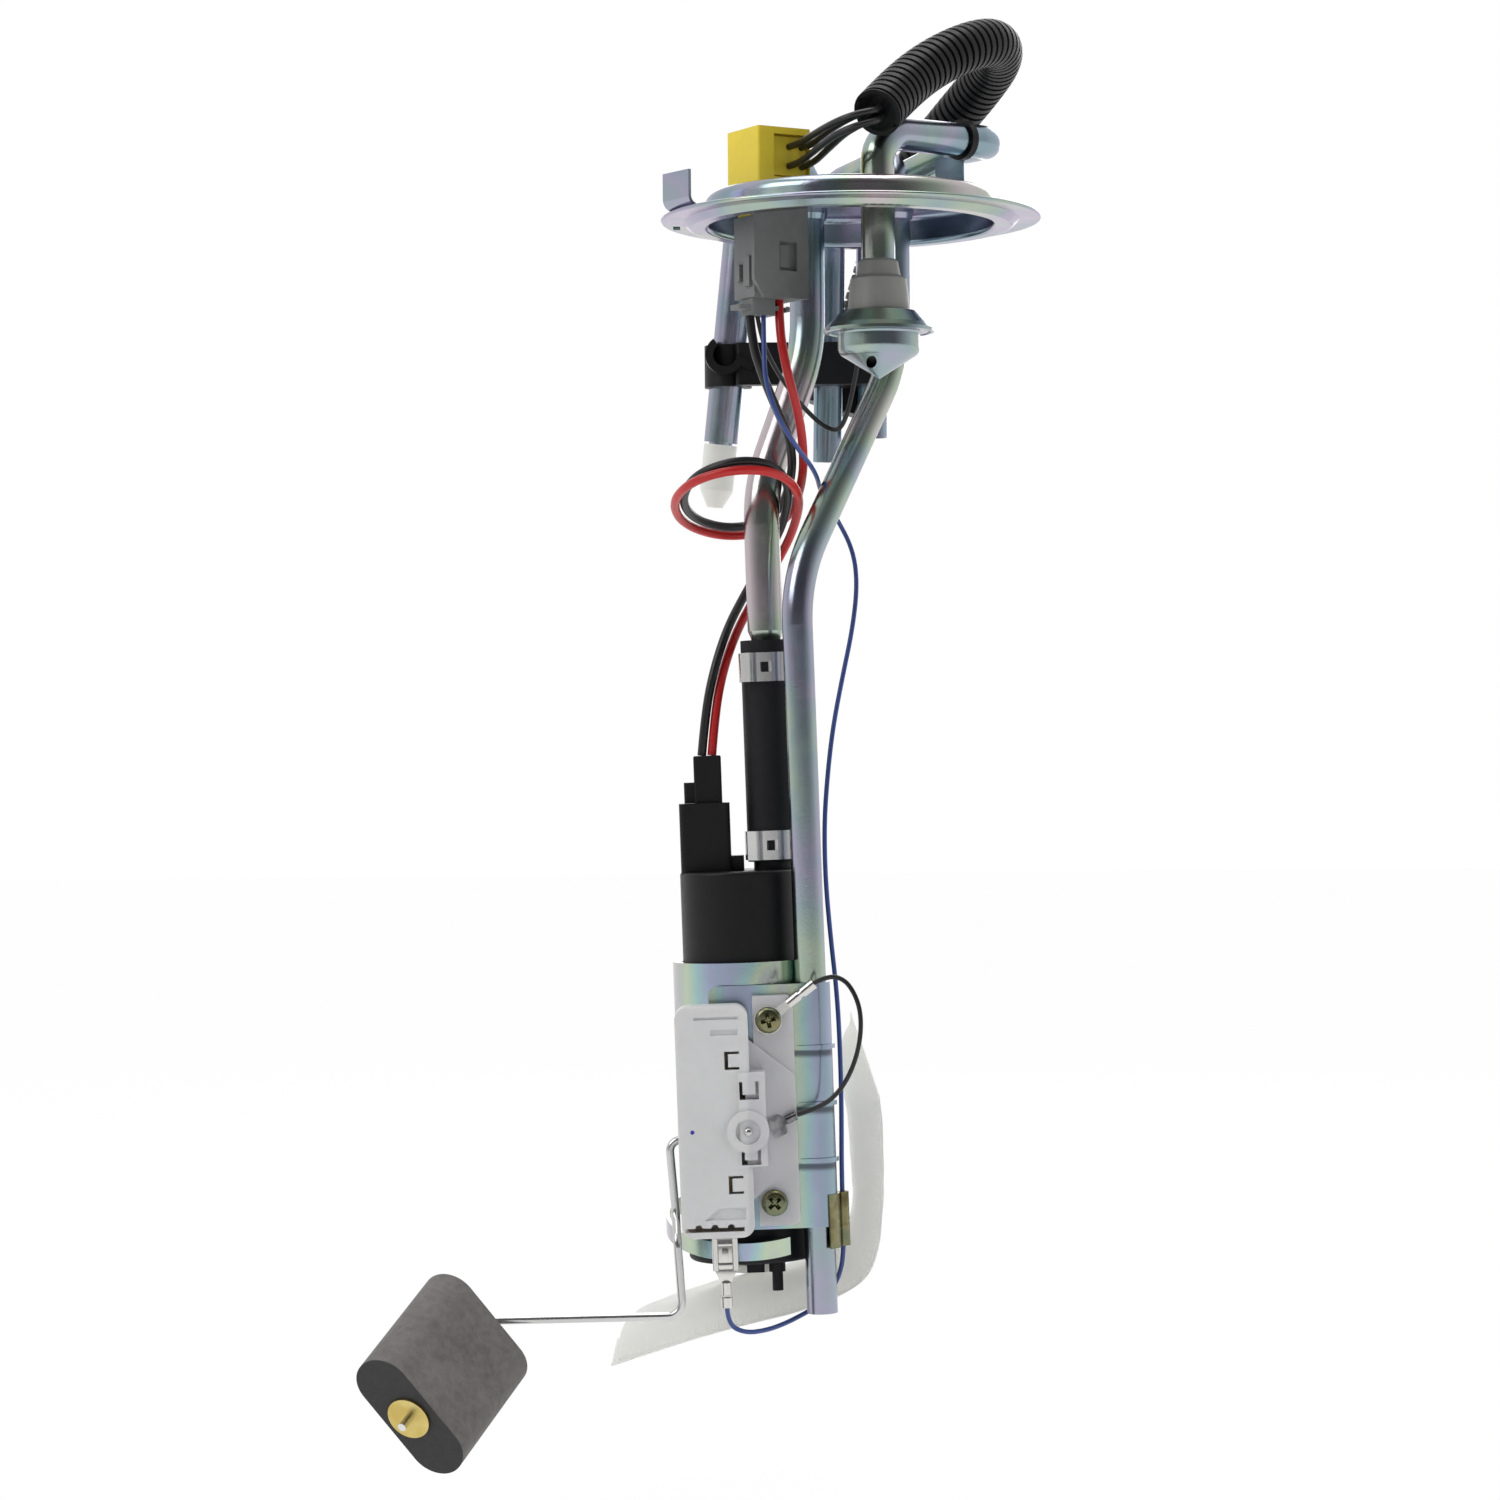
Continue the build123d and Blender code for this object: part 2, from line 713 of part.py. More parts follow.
# Inside the case: inlet cover, body plate, impeller, magnets, armature and brushes
bore_radius = pump_radius - pump_wall
cover_top = -72.0
impeller_thickness = 4.0
impeller_radius = 14.0
impeller_gap = 0.1
body_top = cover_top + impeller_thickness + 5.0
inlet_v = 8.0
inlet_radius = 4.6
inlet_bottom = -92.0
with BuildPart() as inlet_cover:
    with BuildSketch(Plane.XY.offset(pump_bottom)):
        Circle(bore_radius)
    extrude(amount=cover_top - pump_bottom)
    with BuildSketch(Plane.XY.offset(inlet_bottom)):
        with Locations((0, inlet_v)):
            Circle(inlet_radius)
    extrude(amount=pump_bottom - inlet_bottom)
    with BuildSketch(Plane.XY.offset(inlet_bottom)):
        with Locations((0, inlet_v)):
            Circle(inlet_radius - 1.4)
    extrude(amount=cover_top - inlet_bottom, mode=Mode.SUBTRACT)
    with BuildSketch(Plane.XY.offset(cover_top)):
        Circle(shaft_radius + running_gap)
    extrude(amount=-4.0, mode=Mode.SUBTRACT)
inlet_cover.part.label = "inlet_cover"
inlet_cover.part.locate(hung.location)
export_step(inlet_cover.part, "parts/inlet_cover.step")

with BuildPart() as body_plate:
    with BuildSketch(Plane.XY.offset(cover_top)):
        Circle(bore_radius)
    extrude(amount=body_top - cover_top)
    with BuildSketch(Plane.XY.offset(cover_top)):
        Circle(impeller_radius + impeller_gap)
    extrude(amount=impeller_thickness + 2 * impeller_gap, mode=Mode.SUBTRACT)
    with BuildSketch(Plane.XY.offset(cover_top)):
        Circle(shaft_radius + running_gap)
        with Locations((0, -inlet_v - 3.0)):
            Circle(2.0)
    extrude(amount=body_top - cover_top, mode=Mode.SUBTRACT)
body_plate.part.label = "body_plate"
body_plate.part.locate(hung.location)
export_step(body_plate.part, "parts/body_plate.step")

vane_count = 24
with BuildPart() as impeller:
    with BuildSketch(Plane.XY.offset(cover_top + impeller_gap)):
        Circle(impeller_radius)
        Circle(shaft_radius, mode=Mode.SUBTRACT)
        with PolarLocations(impeller_radius - 1.4, vane_count):
            Rectangle(2.0, 1.6, mode=Mode.SUBTRACT)
    extrude(amount=impeller_thickness)
impeller.part.label = "impeller"
impeller.part.locate(hung.location)
export_step(impeller.part, "parts/impeller.step")

core_bottom, core_top = -56.0, -18.0
core_radius = 11.6
with BuildPart() as armature:
    with BuildSketch(Plane.XY.offset(cover_top - 3.9)):
        Circle(shaft_radius)
    extrude(amount=bearing_top - 0.2 - (cover_top - 3.9))
    with BuildSketch(Plane.XY.offset(core_bottom)):
        Circle(core_radius)
        with PolarLocations(core_radius - 1.5, 8):
            Rectangle(5.0, 1.2, mode=Mode.SUBTRACT)
    extrude(amount=core_top - core_bottom)
    with BuildSketch(Plane.XY.offset(core_top)):
        Circle(3.6)
    extrude(amount=cap_bottom - core_top - 0.4)
    with BuildSketch(Plane.XY.offset(cap_bottom + 0.6)):
        Circle(7.2)
    extrude(amount=4.6)
armature.part.label = "armature"
armature.part.locate(hung.location)
export_step(armature.part, "parts/armature.step")

with BuildPart() as magnets:
    with BuildSketch(Plane.XY.offset(core_bottom - 2)):
        Circle(bore_radius)
        Circle(core_radius + 0.5, mode=Mode.SUBTRACT)
        Rectangle(6.0, 2 * pump_radius, mode=Mode.SUBTRACT)
    extrude(amount=core_top - core_bottom + 4)
magnets.part.label = "magnets"
magnets.part.locate(hung.location)
export_step(magnets.part, "parts/magnets.step")

with BuildPart() as brushes:
    with BuildSketch(Plane.XY.offset(cap_bottom + 5.3)):
        with PolarLocations(5.2, 2):
            Rectangle(3.1, 5.1)
    extrude(amount=6.0)
brushes.part.label = "brushes"
brushes.part.locate(hung.location)
export_step(brushes.part, "parts/brushes.step")

# Rubber cushion between the pump and its sleeve, and the isolator under the pump
with BuildPart() as pump_cushion:
    with BuildSketch(Plane.XY.offset(sleeve_bottom + 2)):
        Circle(sleeve_inner)
        Circle(pump_radius, mode=Mode.SUBTRACT)
    extrude(amount=sleeve_top - 2.0 - (sleeve_bottom + 2))
pump_cushion.part.label = "pump_cushion"
pump_cushion.part.locate(hung.location)
export_step(pump_cushion.part, "parts/pump_cushion.step")

isolator_radius = 20.4
isolator_bottom = -88.0
isolator_top = sleeve_bottom - 0.5
with BuildPart() as isolator:
    with BuildSketch(Plane.XY.offset(isolator_bottom)):
        Circle(isolator_radius)
    extrude(amount=isolator_top - isolator_bottom)
    fillet(isolator.edges().group_by(Axis.Z)[0], 1.5)
    with BuildSketch(Plane.XY.offset(pump_bottom)):
        Circle(pump_radius)
    extrude(amount=isolator_top - pump_bottom, mode=Mode.SUBTRACT)
    with BuildSketch(Plane.XY.offset(isolator_bottom)):
        with Locations((0, inlet_v)):
            Circle(inlet_radius)
    extrude(amount=pump_bottom - isolator_bottom, mode=Mode.SUBTRACT)
    # Foot, locating peg and rib under the isolator
    with BuildSketch(Plane.XY.offset(isolator_bottom)):
        with Locations((0.6, -13.0)):
            RectangleRounded(5.6, 5.0, 0.8)
        with Locations((7.4, -13.6)):
            Circle(2.6)
    extrude(amount=-3.0)
    with BuildSketch(Plane.XY.offset(isolator_bottom - 3.0)):
        with Locations((7.4, -13.6)):
            Circle(1.7)
    extrude(amount=-6.0)
isolator.part.label = "isolator"
isolator.part.locate(hung.location)
export_step(isolator.part, "parts/isolator.step")

# Bracket: a sleeve round the pump and a plate that carries the sender and the return tube
with BuildPart() as bracket_sleeve:
    with BuildSketch(Plane.XY.offset(sleeve_bottom)):
        Circle(sleeve_radius)
        Circle(sleeve_inner, mode=Mode.SUBTRACT)
    extrude(amount=sleeve_top - sleeve_bottom)
    with BuildSketch(Plane.XY.offset(sleeve_top - 1.2)):
        Circle(sleeve_inner)
        Circle(cap_radius + 0.4, mode=Mode.SUBTRACT)
    extrude(amount=1.2)
bracket_sleeve.part.label = "bracket_sleeve"
bracket_sleeve.part.locate(hung.location)
export_step(bracket_sleeve.part, "parts/bracket_sleeve.step")

wrap_inner = return_radius
plate_middle = plate_back - sheet / 2
rib_heights = (-20.8, -38.6, -56.3)
screw_hole = screw_radius + 0.15
with BuildPart() as bracket_plate:
    with BuildSketch(Plane.XY.offset(plate_bottom)):
        with BuildLine():
            flat = Line((plate_left, plate_middle), (return_offset, plate_middle))
            RadiusArc(
                flat @ 1,
                (return_offset + wrap_inner + sheet / 2, return_v),
                -(wrap_inner + sheet / 2),
            )
        trace(line_width=sheet)
    extrude(amount=-plate_bottom)
    corner = bracket_plate.edges().filter_by(Axis.Y).group_by(Axis.X)[0]
    fillet(corner, 3.0)
    with BuildSketch(Plane.XZ.offset(-plate_front)):
        with Locations((screw_u, screw_w_top), (screw_u, screw_w_bottom)):
            Circle(screw_hole)
    extrude(amount=-2 * sheet, both=True, mode=Mode.SUBTRACT)
    # Cross ribs pressed in the channel over the return tube
    for height in rib_heights:
        with BuildSketch(Plane.XY.offset(height)):
            with BuildLine():
                RadiusArc(
                    (return_offset, plate_front - 0.35),
                    (return_offset + wrap_inner + sheet + 0.35, return_v),
                    -(wrap_inner + sheet + 0.35),
                )
                Line((ear_right + 1.0, plate_front - 0.35), (return_offset, plate_front - 0.35))
            trace(line_width=1.0)
        extrude(amount=1.4)
bracket_plate.part.label = "bracket_plate"
bracket_plate.part.locate(hung.location)
export_step(bracket_plate.part, "parts/bracket_plate.step")

# Lower strap: an open band hooked under the pump, lower at the front
strap_height = 6.0
strap_gap = 2.7
strap_radius = sleeve_radius + strap_gap
strap_lean = 17.0
strap_plane = Plane(origin=(-1.8, -1.0, -78.5), x_dir=(1, 0, 0), z_dir=(0, -sin(radians(strap_lean)), cos(radians(strap_lean))))
strap_weld_reach = sleeve_radius + sheet + 1.2
strap_weld_u = strap_weld_reach * cos(radians(113))
strap_weld_v = strap_weld_reach * sin(radians(113))
strap_weld = (strap_weld_u + 1.8, (strap_weld_v + 1.0) / cos(radians(strap_lean)))

with BuildPart() as lower_strap:
    with BuildSketch(strap_plane):
        with BuildLine():
            band = CenterArc((0, 0), strap_radius, 122, 180)
            Line(band @ 0, strap_weld)
        trace(line_width=sheet)
    extrude(amount=strap_height)
lower_strap.part.label = "lower_strap"
lower_strap.part.locate(hung.location)
export_step(lower_strap.part, "parts/lower_strap.step")

# Strainer: a neck on the inlet and a soft mesh bag that runs under the pump and up its right side
bag_thickness = 11.0
bag_front, bag_back = 4.5, 60.0
bag_top_front, bag_top_back = -275.5, -252.5
neck_bottom = -93.4
with BuildPart() as strainer_neck:
    with BuildSketch(Plane.XY.offset(neck_bottom)):
        with Locations((0, inlet_v)):
            Circle(7.5)
    extrude(amount=2.5)
    with BuildSketch(Plane.XY.offset(neck_bottom)):
        with Locations((0, inlet_v)):
            Circle(inlet_radius + 1.6)
            Circle(inlet_radius, mode=Mode.SUBTRACT)
    extrude(amount=isolator_bottom - 0.5 - neck_bottom)
    with BuildSketch(Plane.XY.offset(neck_bottom)):
        with Locations((0, inlet_v)):
            Circle(inlet_radius)
    extrude(amount=2.5, mode=Mode.SUBTRACT)
strainer_neck.part.label = "strainer_neck"
strainer_neck.part.locate(hung.location)
export_step(strainer_neck.part, "parts/strainer_neck.step")

with BuildPart() as strainer_bag:
    with BuildSketch(Plane.XZ.offset(-bag_front)):
        with BuildLine():
            run = FilletPolyline(
                (-77.5, -355.0),
                (-48.0, -345.6),
                (-12.0, -337.2),
                (1.6, -328.0),
                (1.9, -250.0),
                radius=[60.0, 24.0, 14.0],
            )
            offset(amount=bag_thickness / 2, side=Side.BOTH)
        make_face()
    extrude(amount=-(bag_back - bag_front))
    # The upright end is cut on a slope, higher at the back
    with BuildSketch(Plane.YZ.offset(-30.0)):
        with BuildLine():
            Polyline(
                (bag_front - 1.0, bag_top_front - 0.4),
                (bag_back + 1.0, bag_top_back + 0.4),
                (bag_back + 1.0, bag_top_back + 40.0),
                (bag_front - 1.0, bag_top_back + 40.0),
                close=True,
            )
        make_face()
    extrude(amount=60.0, mode=Mode.SUBTRACT)
    with BuildSketch(Plane(origin=hung_point(0, inlet_v, neck_bottom - 0.3), x_dir=hung.x_dir, z_dir=hung.z_dir)):
        Circle(6.4)
    extrude(amount=-6.0)
strainer_bag.part.label = "strainer_bag"
export_step(strainer_bag.part, "parts/strainer_bag.step")

# Level sender: an open-backed housing with a mounting ear, and its cover
web_lift = 1.2
pad_lift = 0.7
pad_left, pad_right = -2.6, 5.3
pad_top, pad_bottom = -25.8, -54.9
window_width, window_height = 6.0, 5.6
slot_width, slot_height = 4.6, 5.6
hub_outer = 6.5
wiper_hub_radius = 3.6
hub_pocket = wiper_hub_radius + 0.4
with BuildPart() as sender_body:
    with BuildSketch(Plane.XZ.offset(-sender_rear)):
        with Locations(((sender_left + sender_right) / 2, (sender_top + sender_bottom) / 2)):
            RectangleRounded(sender_right - sender_left, sender_top - sender_bottom, 4.0)
    extrude(amount=sender_depth)
    with BuildSketch(Plane.XZ.offset(-sender_rear)):
        with Locations(((sender_left + sender_right) / 2, (sender_top + sender_bottom) / 2)):
            RectangleRounded(
                sender_right - sender_left - 2 * sender_wall,
                sender_top - sender_bottom - 2 * sender_wall,
                4.0 - sender_wall,
            )
    extrude(amount=sender_depth - sender_wall, mode=Mode.SUBTRACT)
    with BuildSketch(Plane.XZ.offset(-plate_front)):
        with BuildLine():
            Polyline(
                (sender_right + 1.6, ear_top),
                (ear_right, ear_top),
                (ear_right, ear_bottom),
                (sender_right + 1.6, ear_bottom),
                (sender_right + 1.6, pivot_w - 14.0),
                (sender_right + 7.0, pivot_w - 9.0),
                (sender_right + 7.0, pivot_w + 9.0),
                (sender_right + 1.6, pivot_w + 14.0),
                close=True,
            )
        make_face()
    extrude(amount=ear_thickness)
    # Raised web between the screws, with slanted ends
    with BuildSketch(Plane.XZ.offset(-(plate_front - ear_thickness))):
        with BuildLine():
            Polyline(
                (sender_right - 0.5, -16.0),
                (ear_right, -28.0),
                (ear_right, -54.6),
                (sender_right - 0.5, -66.6),
                close=True,
            )
        make_face()
    extrude(amount=web_lift)
    fillet(sender_body.edges().filter_by(Axis.Y).group_by(Axis.X)[-1], 2.4)
    # Raised pad round the hub: deep beside the housing, thin over its front
    with BuildSketch(Plane.XZ.offset(-(plate_front - ear_thickness))):
        with Locations(((pad_right + sender_right) / 2, (pad_top + pad_bottom) / 2)):
            Rectangle(pad_right - sender_right + 0.6, pad_top - pad_bottom)
    extrude(amount=plate_front - ear_thickness - sender_front + pad_lift)
    with BuildSketch(Plane.XZ.offset(-sender_front)):
        with Locations(((pad_left + sender_right) / 2, (pad_top + pad_bottom) / 2)):
            Rectangle(sender_right - pad_left, pad_top - pad_bottom)
    extrude(amount=pad_lift)
    # Round barrel of the arm's bearing at the edge of the housing, hollow for the wiper's hub
    with BuildSketch(Plane.XZ.offset(-sender_rear)):
        with Locations((pivot_u, pivot_w)):
            Circle(hub_outer)
    extrude(amount=sender_depth)
    with BuildSketch(Plane.XZ.offset(-sender_rear)):
        with Locations((pivot_u, pivot_w)):
            Circle(hub_pocket)
    extrude(amount=sender_depth - sender_wall, mode=Mode.SUBTRACT)
    with BuildSketch(Plane.XZ.offset(-sender_rear)):
        with Locations(((sender_left + sender_right) / 2, pivot_w)):
            Rectangle(sender_right - sender_left - 2 * sender_wall, 2 * hub_outer)
    extrude(amount=sender_depth - sender_wall, mode=Mode.SUBTRACT)
    # Bearing of the arm: a raised hub on the front, and its bore
    with BuildSketch(Plane.XZ.offset(-(sender_front + sender_wall + 0.9))):
        with Locations((pivot_u, pivot_w)):
            Circle(2.8)
    extrude(amount=1.0)
    with BuildSketch(Plane.XZ.offset(-sender_front)):
        with Locations((pivot_u, pivot_w)):
            Circle(hub_outer)
            Circle(3.9, mode=Mode.SUBTRACT)
    extrude(amount=pad_lift + 0.7)
    # Two latch windows with their tongues, above and below the hub
    for window_w, depth in ((pivot_w + 12.6, 2.2), (pivot_w - 7.6, 2.2)):
        with BuildSketch(Plane.XZ.offset(-(sender_front - pad_lift))):
            with Locations((0.6, window_w)):
                Rectangle(window_width, window_height)
            with Locations((0.6, window_w + 0.8)):
                Rectangle(window_width - 2.0, window_height - 1.6, mode=Mode.SUBTRACT)
        extrude(amount=-depth, mode=Mode.SUBTRACT)
    # Two bracket-shaped slots through the front wall
    for slot_w in (pivot_w + 22.0, pivot_w - 16.4):
        with BuildSketch(Plane.XZ.offset(-sender_front)):
            with Locations((-4.4, slot_w)):
                Rectangle(slot_width, slot_height)
            with Locations((-3.8, slot_w)):
                Rectangle(slot_width - 1.2, slot_height - 1.6, mode=Mode.SUBTRACT)
        extrude(amount=-sender_wall, mode=Mode.SUBTRACT)
    # Shallow recesses near the top
    with BuildSketch(Plane.XZ.offset(-sender_front)):
        with Locations((-8.9, sender_top - 3.8)):
            Rectangle(13.6, 0.9)
        with Locations((-6.5, sender_top - 8.2)):
            Rectangle(8.4, 1.8)
    extrude(amount=-0.6, mode=Mode.SUBTRACT)
    # Moulded ramp and the scalloped slot near the bottom
    with BuildSketch(Plane.XZ.offset(-sender_front)):
        with BuildLine():
            Polyline(
                (-14.4, sender_bottom + 5.6),
                (-10.3, sender_bottom + 9.3),
                (-1.7, sender_bottom + 9.3),
                (-1.7, sender_bottom + 5.6),
                close=True,
            )
        make_face()
    extrude(amount=-0.7, mode=Mode.SUBTRACT)
    with BuildSketch(Plane.XZ.offset(-sender_front)):
        with Locations((-11.4, sender_bottom + 2.6)):
            Rectangle(18.2, 1.3)
        with Locations(*[(-11.4 + step * 5.0, sender_bottom + 3.2) for step in (-1, 0, 1)]):
            Circle(1.1)
    extrude(amount=-sender_wall, mode=Mode.SUBTRACT)
    with BuildSketch(Plane.XZ.offset(-plate_front)):
        with Locations((pivot_u, pivot_w)):
            Circle(wire_rod_radius + running_gap)
    extrude(amount=40, mode=Mode.SUBTRACT)
    with BuildSketch(Plane.XZ.offset(-plate_front)):
        with Locations((screw_u, screw_w_top), (screw_u, screw_w_bottom)):
            Circle(screw_hole)
    extrude(amount=40, mode=Mode.SUBTRACT)
sender_body.part.label = "sender_body"
sender_body.part.locate(hung.location)
export_step(sender_body.part, "parts/sender_body.step")

# Rear cover of the housing, which keeps the resistor card and the wiper in
arm_knee = (-59.6, arm_y, -288.4)
arm_line_local = hung.to_local_coords(Vector(*arm_knee)) - Vector(pivot_u, 0, pivot_w)
arm_rest = degrees(atan2(arm_line_local.Z, arm_line_local.X)) % 360
arm_sweep = 76.0
stop_radius = 1.5
stop_reach = 14.6
stop_side = wire_rod_radius + stop_radius + 0.3
cover_thickness = 1.2
inside_left = sender_left + sender_wall
inside_right = sender_right - sender_wall
with BuildPart() as sender_cover:
    with BuildSketch(Plane.XZ.offset(-sender_rear)):
        with Locations(((sender_left + sender_right) / 2, (sender_top + sender_bottom) / 2)):
            RectangleRounded(
                sender_right - sender_left - 2 * sender_wall - 0.2,
                sender_top - sender_bottom - 2 * sender_wall - 0.2,
                4.0 - sender_wall,
            )
        with Locations((pivot_u, pivot_w)):
            Circle(hub_pocket - 0.1)
            Circle(wire_rod_radius + running_gap, mode=Mode.SUBTRACT)
    extrude(amount=cover_thickness)
    # Two stops that the arm meets at the ends of its sweep
    with BuildSketch(Plane.XZ.offset(-sender_rear)):
        for angle, side in ((arm_rest, 1), (arm_rest - arm_sweep, -1)):
            with Locations((
                pivot_u + stop_reach * cos(radians(angle)) - side * stop_side * sin(radians(angle)),
                pivot_w + stop_reach * sin(radians(angle)) + side * stop_side * cos(radians(angle)),
            )):
                Circle(stop_radius)
    extrude(amount=-arm_space + 1.0)
sender_cover.part.label = "sender_cover"
sender_cover.part.locate(hung.location)
export_step(sender_cover.part, "parts/sender_cover.step")

# Resistor card on the inside of the front wall, and the wiper that sweeps it
card_thickness = 0.8
card_left = inside_left + 0.6
card_front = sender_front + sender_wall
with BuildPart() as resistor_card:
    with BuildSketch(Plane.XZ.offset(-card_front)):
        with Locations(((card_left - 6.4) / 2, pivot_w + 3.0)):
            RectangleRounded(-6.4 - card_left, 52.0, 1.0)
    extrude(amount=-card_thickness)
resistor_card.part.label = "resistor_card"
resistor_card.part.locate(hung.location)
export_step(resistor_card.part, "parts/resistor_card.step")

wiper_front = card_front + card_thickness + 0.4
wiper_thickness = 2.4
wiper_direction = 191.0
wiper_reach = 15.5
wiper_neck = 2.2
with BuildPart() as wiper:
    arm_line = Plane(
        origin=(pivot_u, wiper_front, pivot_w),
        x_dir=(cos(radians(wiper_direction)), 0, sin(radians(wiper_direction))),
        z_dir=(0, 1, 0),
    )
    with BuildSketch(arm_line):
        with Locations((wiper_reach / 2, 0)):
            Rectangle(wiper_reach, wiper_neck)
        with Locations((wiper_reach - 2.9, 0)):
            RectangleRounded(5.8, 4.4, 1.2)
        Circle(wiper_hub_radius)
        Circle(wire_rod_radius, mode=Mode.SUBTRACT)
    extrude(amount=wiper_thickness)
    with BuildSketch(arm_line):
        Circle(wiper_hub_radius)
        Circle(wire_rod_radius, mode=Mode.SUBTRACT)
    extrude(amount=5.4)
wiper.part.label = "wiper"
wiper.part.locate(hung.location)
export_step(wiper.part, "parts/wiper.step")

# Screws of the sender, with cross recesses
head_height = 2.2
screw_tip = plate_back + 0.4
ring_thickness = 0.6
with BuildPart() as sender_screws:
    for height, lift in ((screw_w_top, ring_thickness), (screw_w_bottom, 0.0)):
        seat = plate_front - ear_thickness - lift
        with BuildSketch(Plane.XZ.offset(-seat)):
            with Locations((screw_u, height)):
                Circle(screw_head_radius)
        extrude(amount=head_height)
        with BuildSketch(Plane.XZ.offset(-seat)):
            with Locations((screw_u, height)):
                Circle(screw_radius)
        extrude(amount=seat - screw_tip)
        with BuildSketch(Plane.XZ.offset(-(seat - head_height))):
            with Locations((screw_u, height)):
                Rectangle(4.6, 1.0)
                Rectangle(1.0, 4.6)
        extrude(amount=-1.2, mode=Mode.SUBTRACT)
sender_screws.part.label = "sender_screws"
sender_screws.part.locate(hung.location)
export_step(sender_screws.part, "parts/sender_screws.step")

# Ring terminal under the upper screw, with two crimp barrels
terminal_angle = 37.0
terminal_plane = Plane(
    origin=(screw_u, plate_front - ear_thickness, screw_w_top),
    x_dir=(cos(radians(terminal_angle)), 0, sin(radians(terminal_angle))),
    z_dir=(0, -1, 0),
)
barrel_radius = 1.7
ground_lift = 1.8
ring_reach = 18.2
with BuildPart() as ring_terminal:
    with BuildSketch(terminal_plane):
        Circle(4.4)
        with Locations((6.5, 0)):
            Rectangle(7.0, 3.0)
        Circle(screw_hole, mode=Mode.SUBTRACT)
    extrude(amount=ring_thickness)
    with BuildSketch(Plane(origin=terminal_plane.from_local_coords((8.0, 0, ground_lift)), x_dir=terminal_plane.y_dir, z_dir=terminal_plane.x_dir)):
        Circle(barrel_radius)
    extrude(amount=4.4)
    with BuildSketch(Plane(origin=terminal_plane.from_local_coords((12.4, 0, ground_lift)), x_dir=terminal_plane.y_dir, z_dir=terminal_plane.x_dir)):
        Circle(barrel_radius - 0.5)
    extrude(amount=1.2)
    with BuildSketch(Plane(origin=terminal_plane.from_local_coords((13.6, 0, ground_lift)), x_dir=terminal_plane.y_dir, z_dir=terminal_plane.x_dir)):
        Circle(barrel_radius)
    extrude(amount=ring_reach - 13.6)
ring_terminal.part.label = "ring_terminal"
ring_terminal.part.locate(hung.location)
export_step(ring_terminal.part, "parts/ring_terminal.step")

# Ground contact beside the hub: a formed tinned strip with a crimp
contact_plane = Plane(
    origin=(sender_right + 8.1, plate_front - ear_thickness - web_lift, pivot_w + 0.4),
    x_dir=(cos(radians(24.0)), 0, sin(radians(24.0))),
    z_dir=(0, -1, 0),
)
with BuildPart() as ground_contact:
    with BuildSketch(contact_plane):
        RectangleRounded(4.4, 6.6, 1.0)
        with Locations((4.0, 0.6)):
            Rectangle(4.6, 2.6)
    extrude(amount=0.5)
    with BuildSketch(Plane(origin=contact_plane.from_local_coords((3.4, 0.6, 1.5)), x_dir=contact_plane.y_dir, z_dir=contact_plane.x_dir)):
        Circle(1.4)
    extrude(amount=3.4)
ground_contact.part.label = "ground_contact"
ground_contact.part.locate(hung.location)
export_step(ground_contact.part, "parts/ground_contact.step")

# Terminal of the sender's signal wire, below the housing
tab_v = sender_front + 4.0
terminal_u = -8.6
with BuildPart() as sender_terminal:
    with BuildSketch(Plane.XZ.offset(-tab_v)):
        with Locations((terminal_u, sender_bottom - 5.4)):
            RectangleRounded(8.6, 10.4, 0.8)
    extrude(amount=2.0)
    with BuildSketch(Plane.XZ.offset(-tab_v)):
        with BuildLine():
            Polyline(
                (terminal_u - 4.0, sender_bottom - 10.0),
                (terminal_u + 4.0, sender_bottom - 10.0),
                (terminal_u + 1.6, sender_bottom - 14.6),
                (terminal_u - 1.6, sender_bottom - 14.6),
                close=True,
            )
        make_face()
    extrude(amount=0.6)
    with BuildSketch(Plane.XY.offset(sender_bottom - 14.4)):
        with Locations((terminal_u, tab_v - 1.2)):
            Circle(1.9)
    extrude(amount=-7.4)
sender_terminal.part.label = "sender_terminal"
sender_terminal.part.locate(hung.location)
export_step(sender_terminal.part, "parts/sender_terminal.step")

# Spring clip that holds the signal wire to the bracket's channel
clip_sheet = 0.6
clip_grip_radius = return_radius + sheet + clip_sheet / 2 + 0.05
clip_wire_radius = thin_wire_radius + 0.7 + clip_sheet / 2
clip_wire_centre = (return_offset + clip_grip_radius * cos(radians(30)) + clip_wire_radius + 0.3, -14.0)
with BuildPart() as wire_clip:
    with BuildSketch(Plane.XY.offset(-83.5)):
        with BuildLine():
            grip = CenterArc((return_offset, return_v), clip_grip_radius, -60, 90)
            CenterArc(clip_wire_centre, clip_wire_radius, 180, 250)
            Line(grip @ 1, (clip_wire_centre[0] - clip_wire_radius, clip_wire_centre[1]))
        trace(line_width=clip_sheet)
    extrude(amount=17.0)
wire_clip.part.label = "wire_clip"
wire_clip.part.locate(hung.location)
export_step(wire_clip.part, "parts/wire_clip.step")

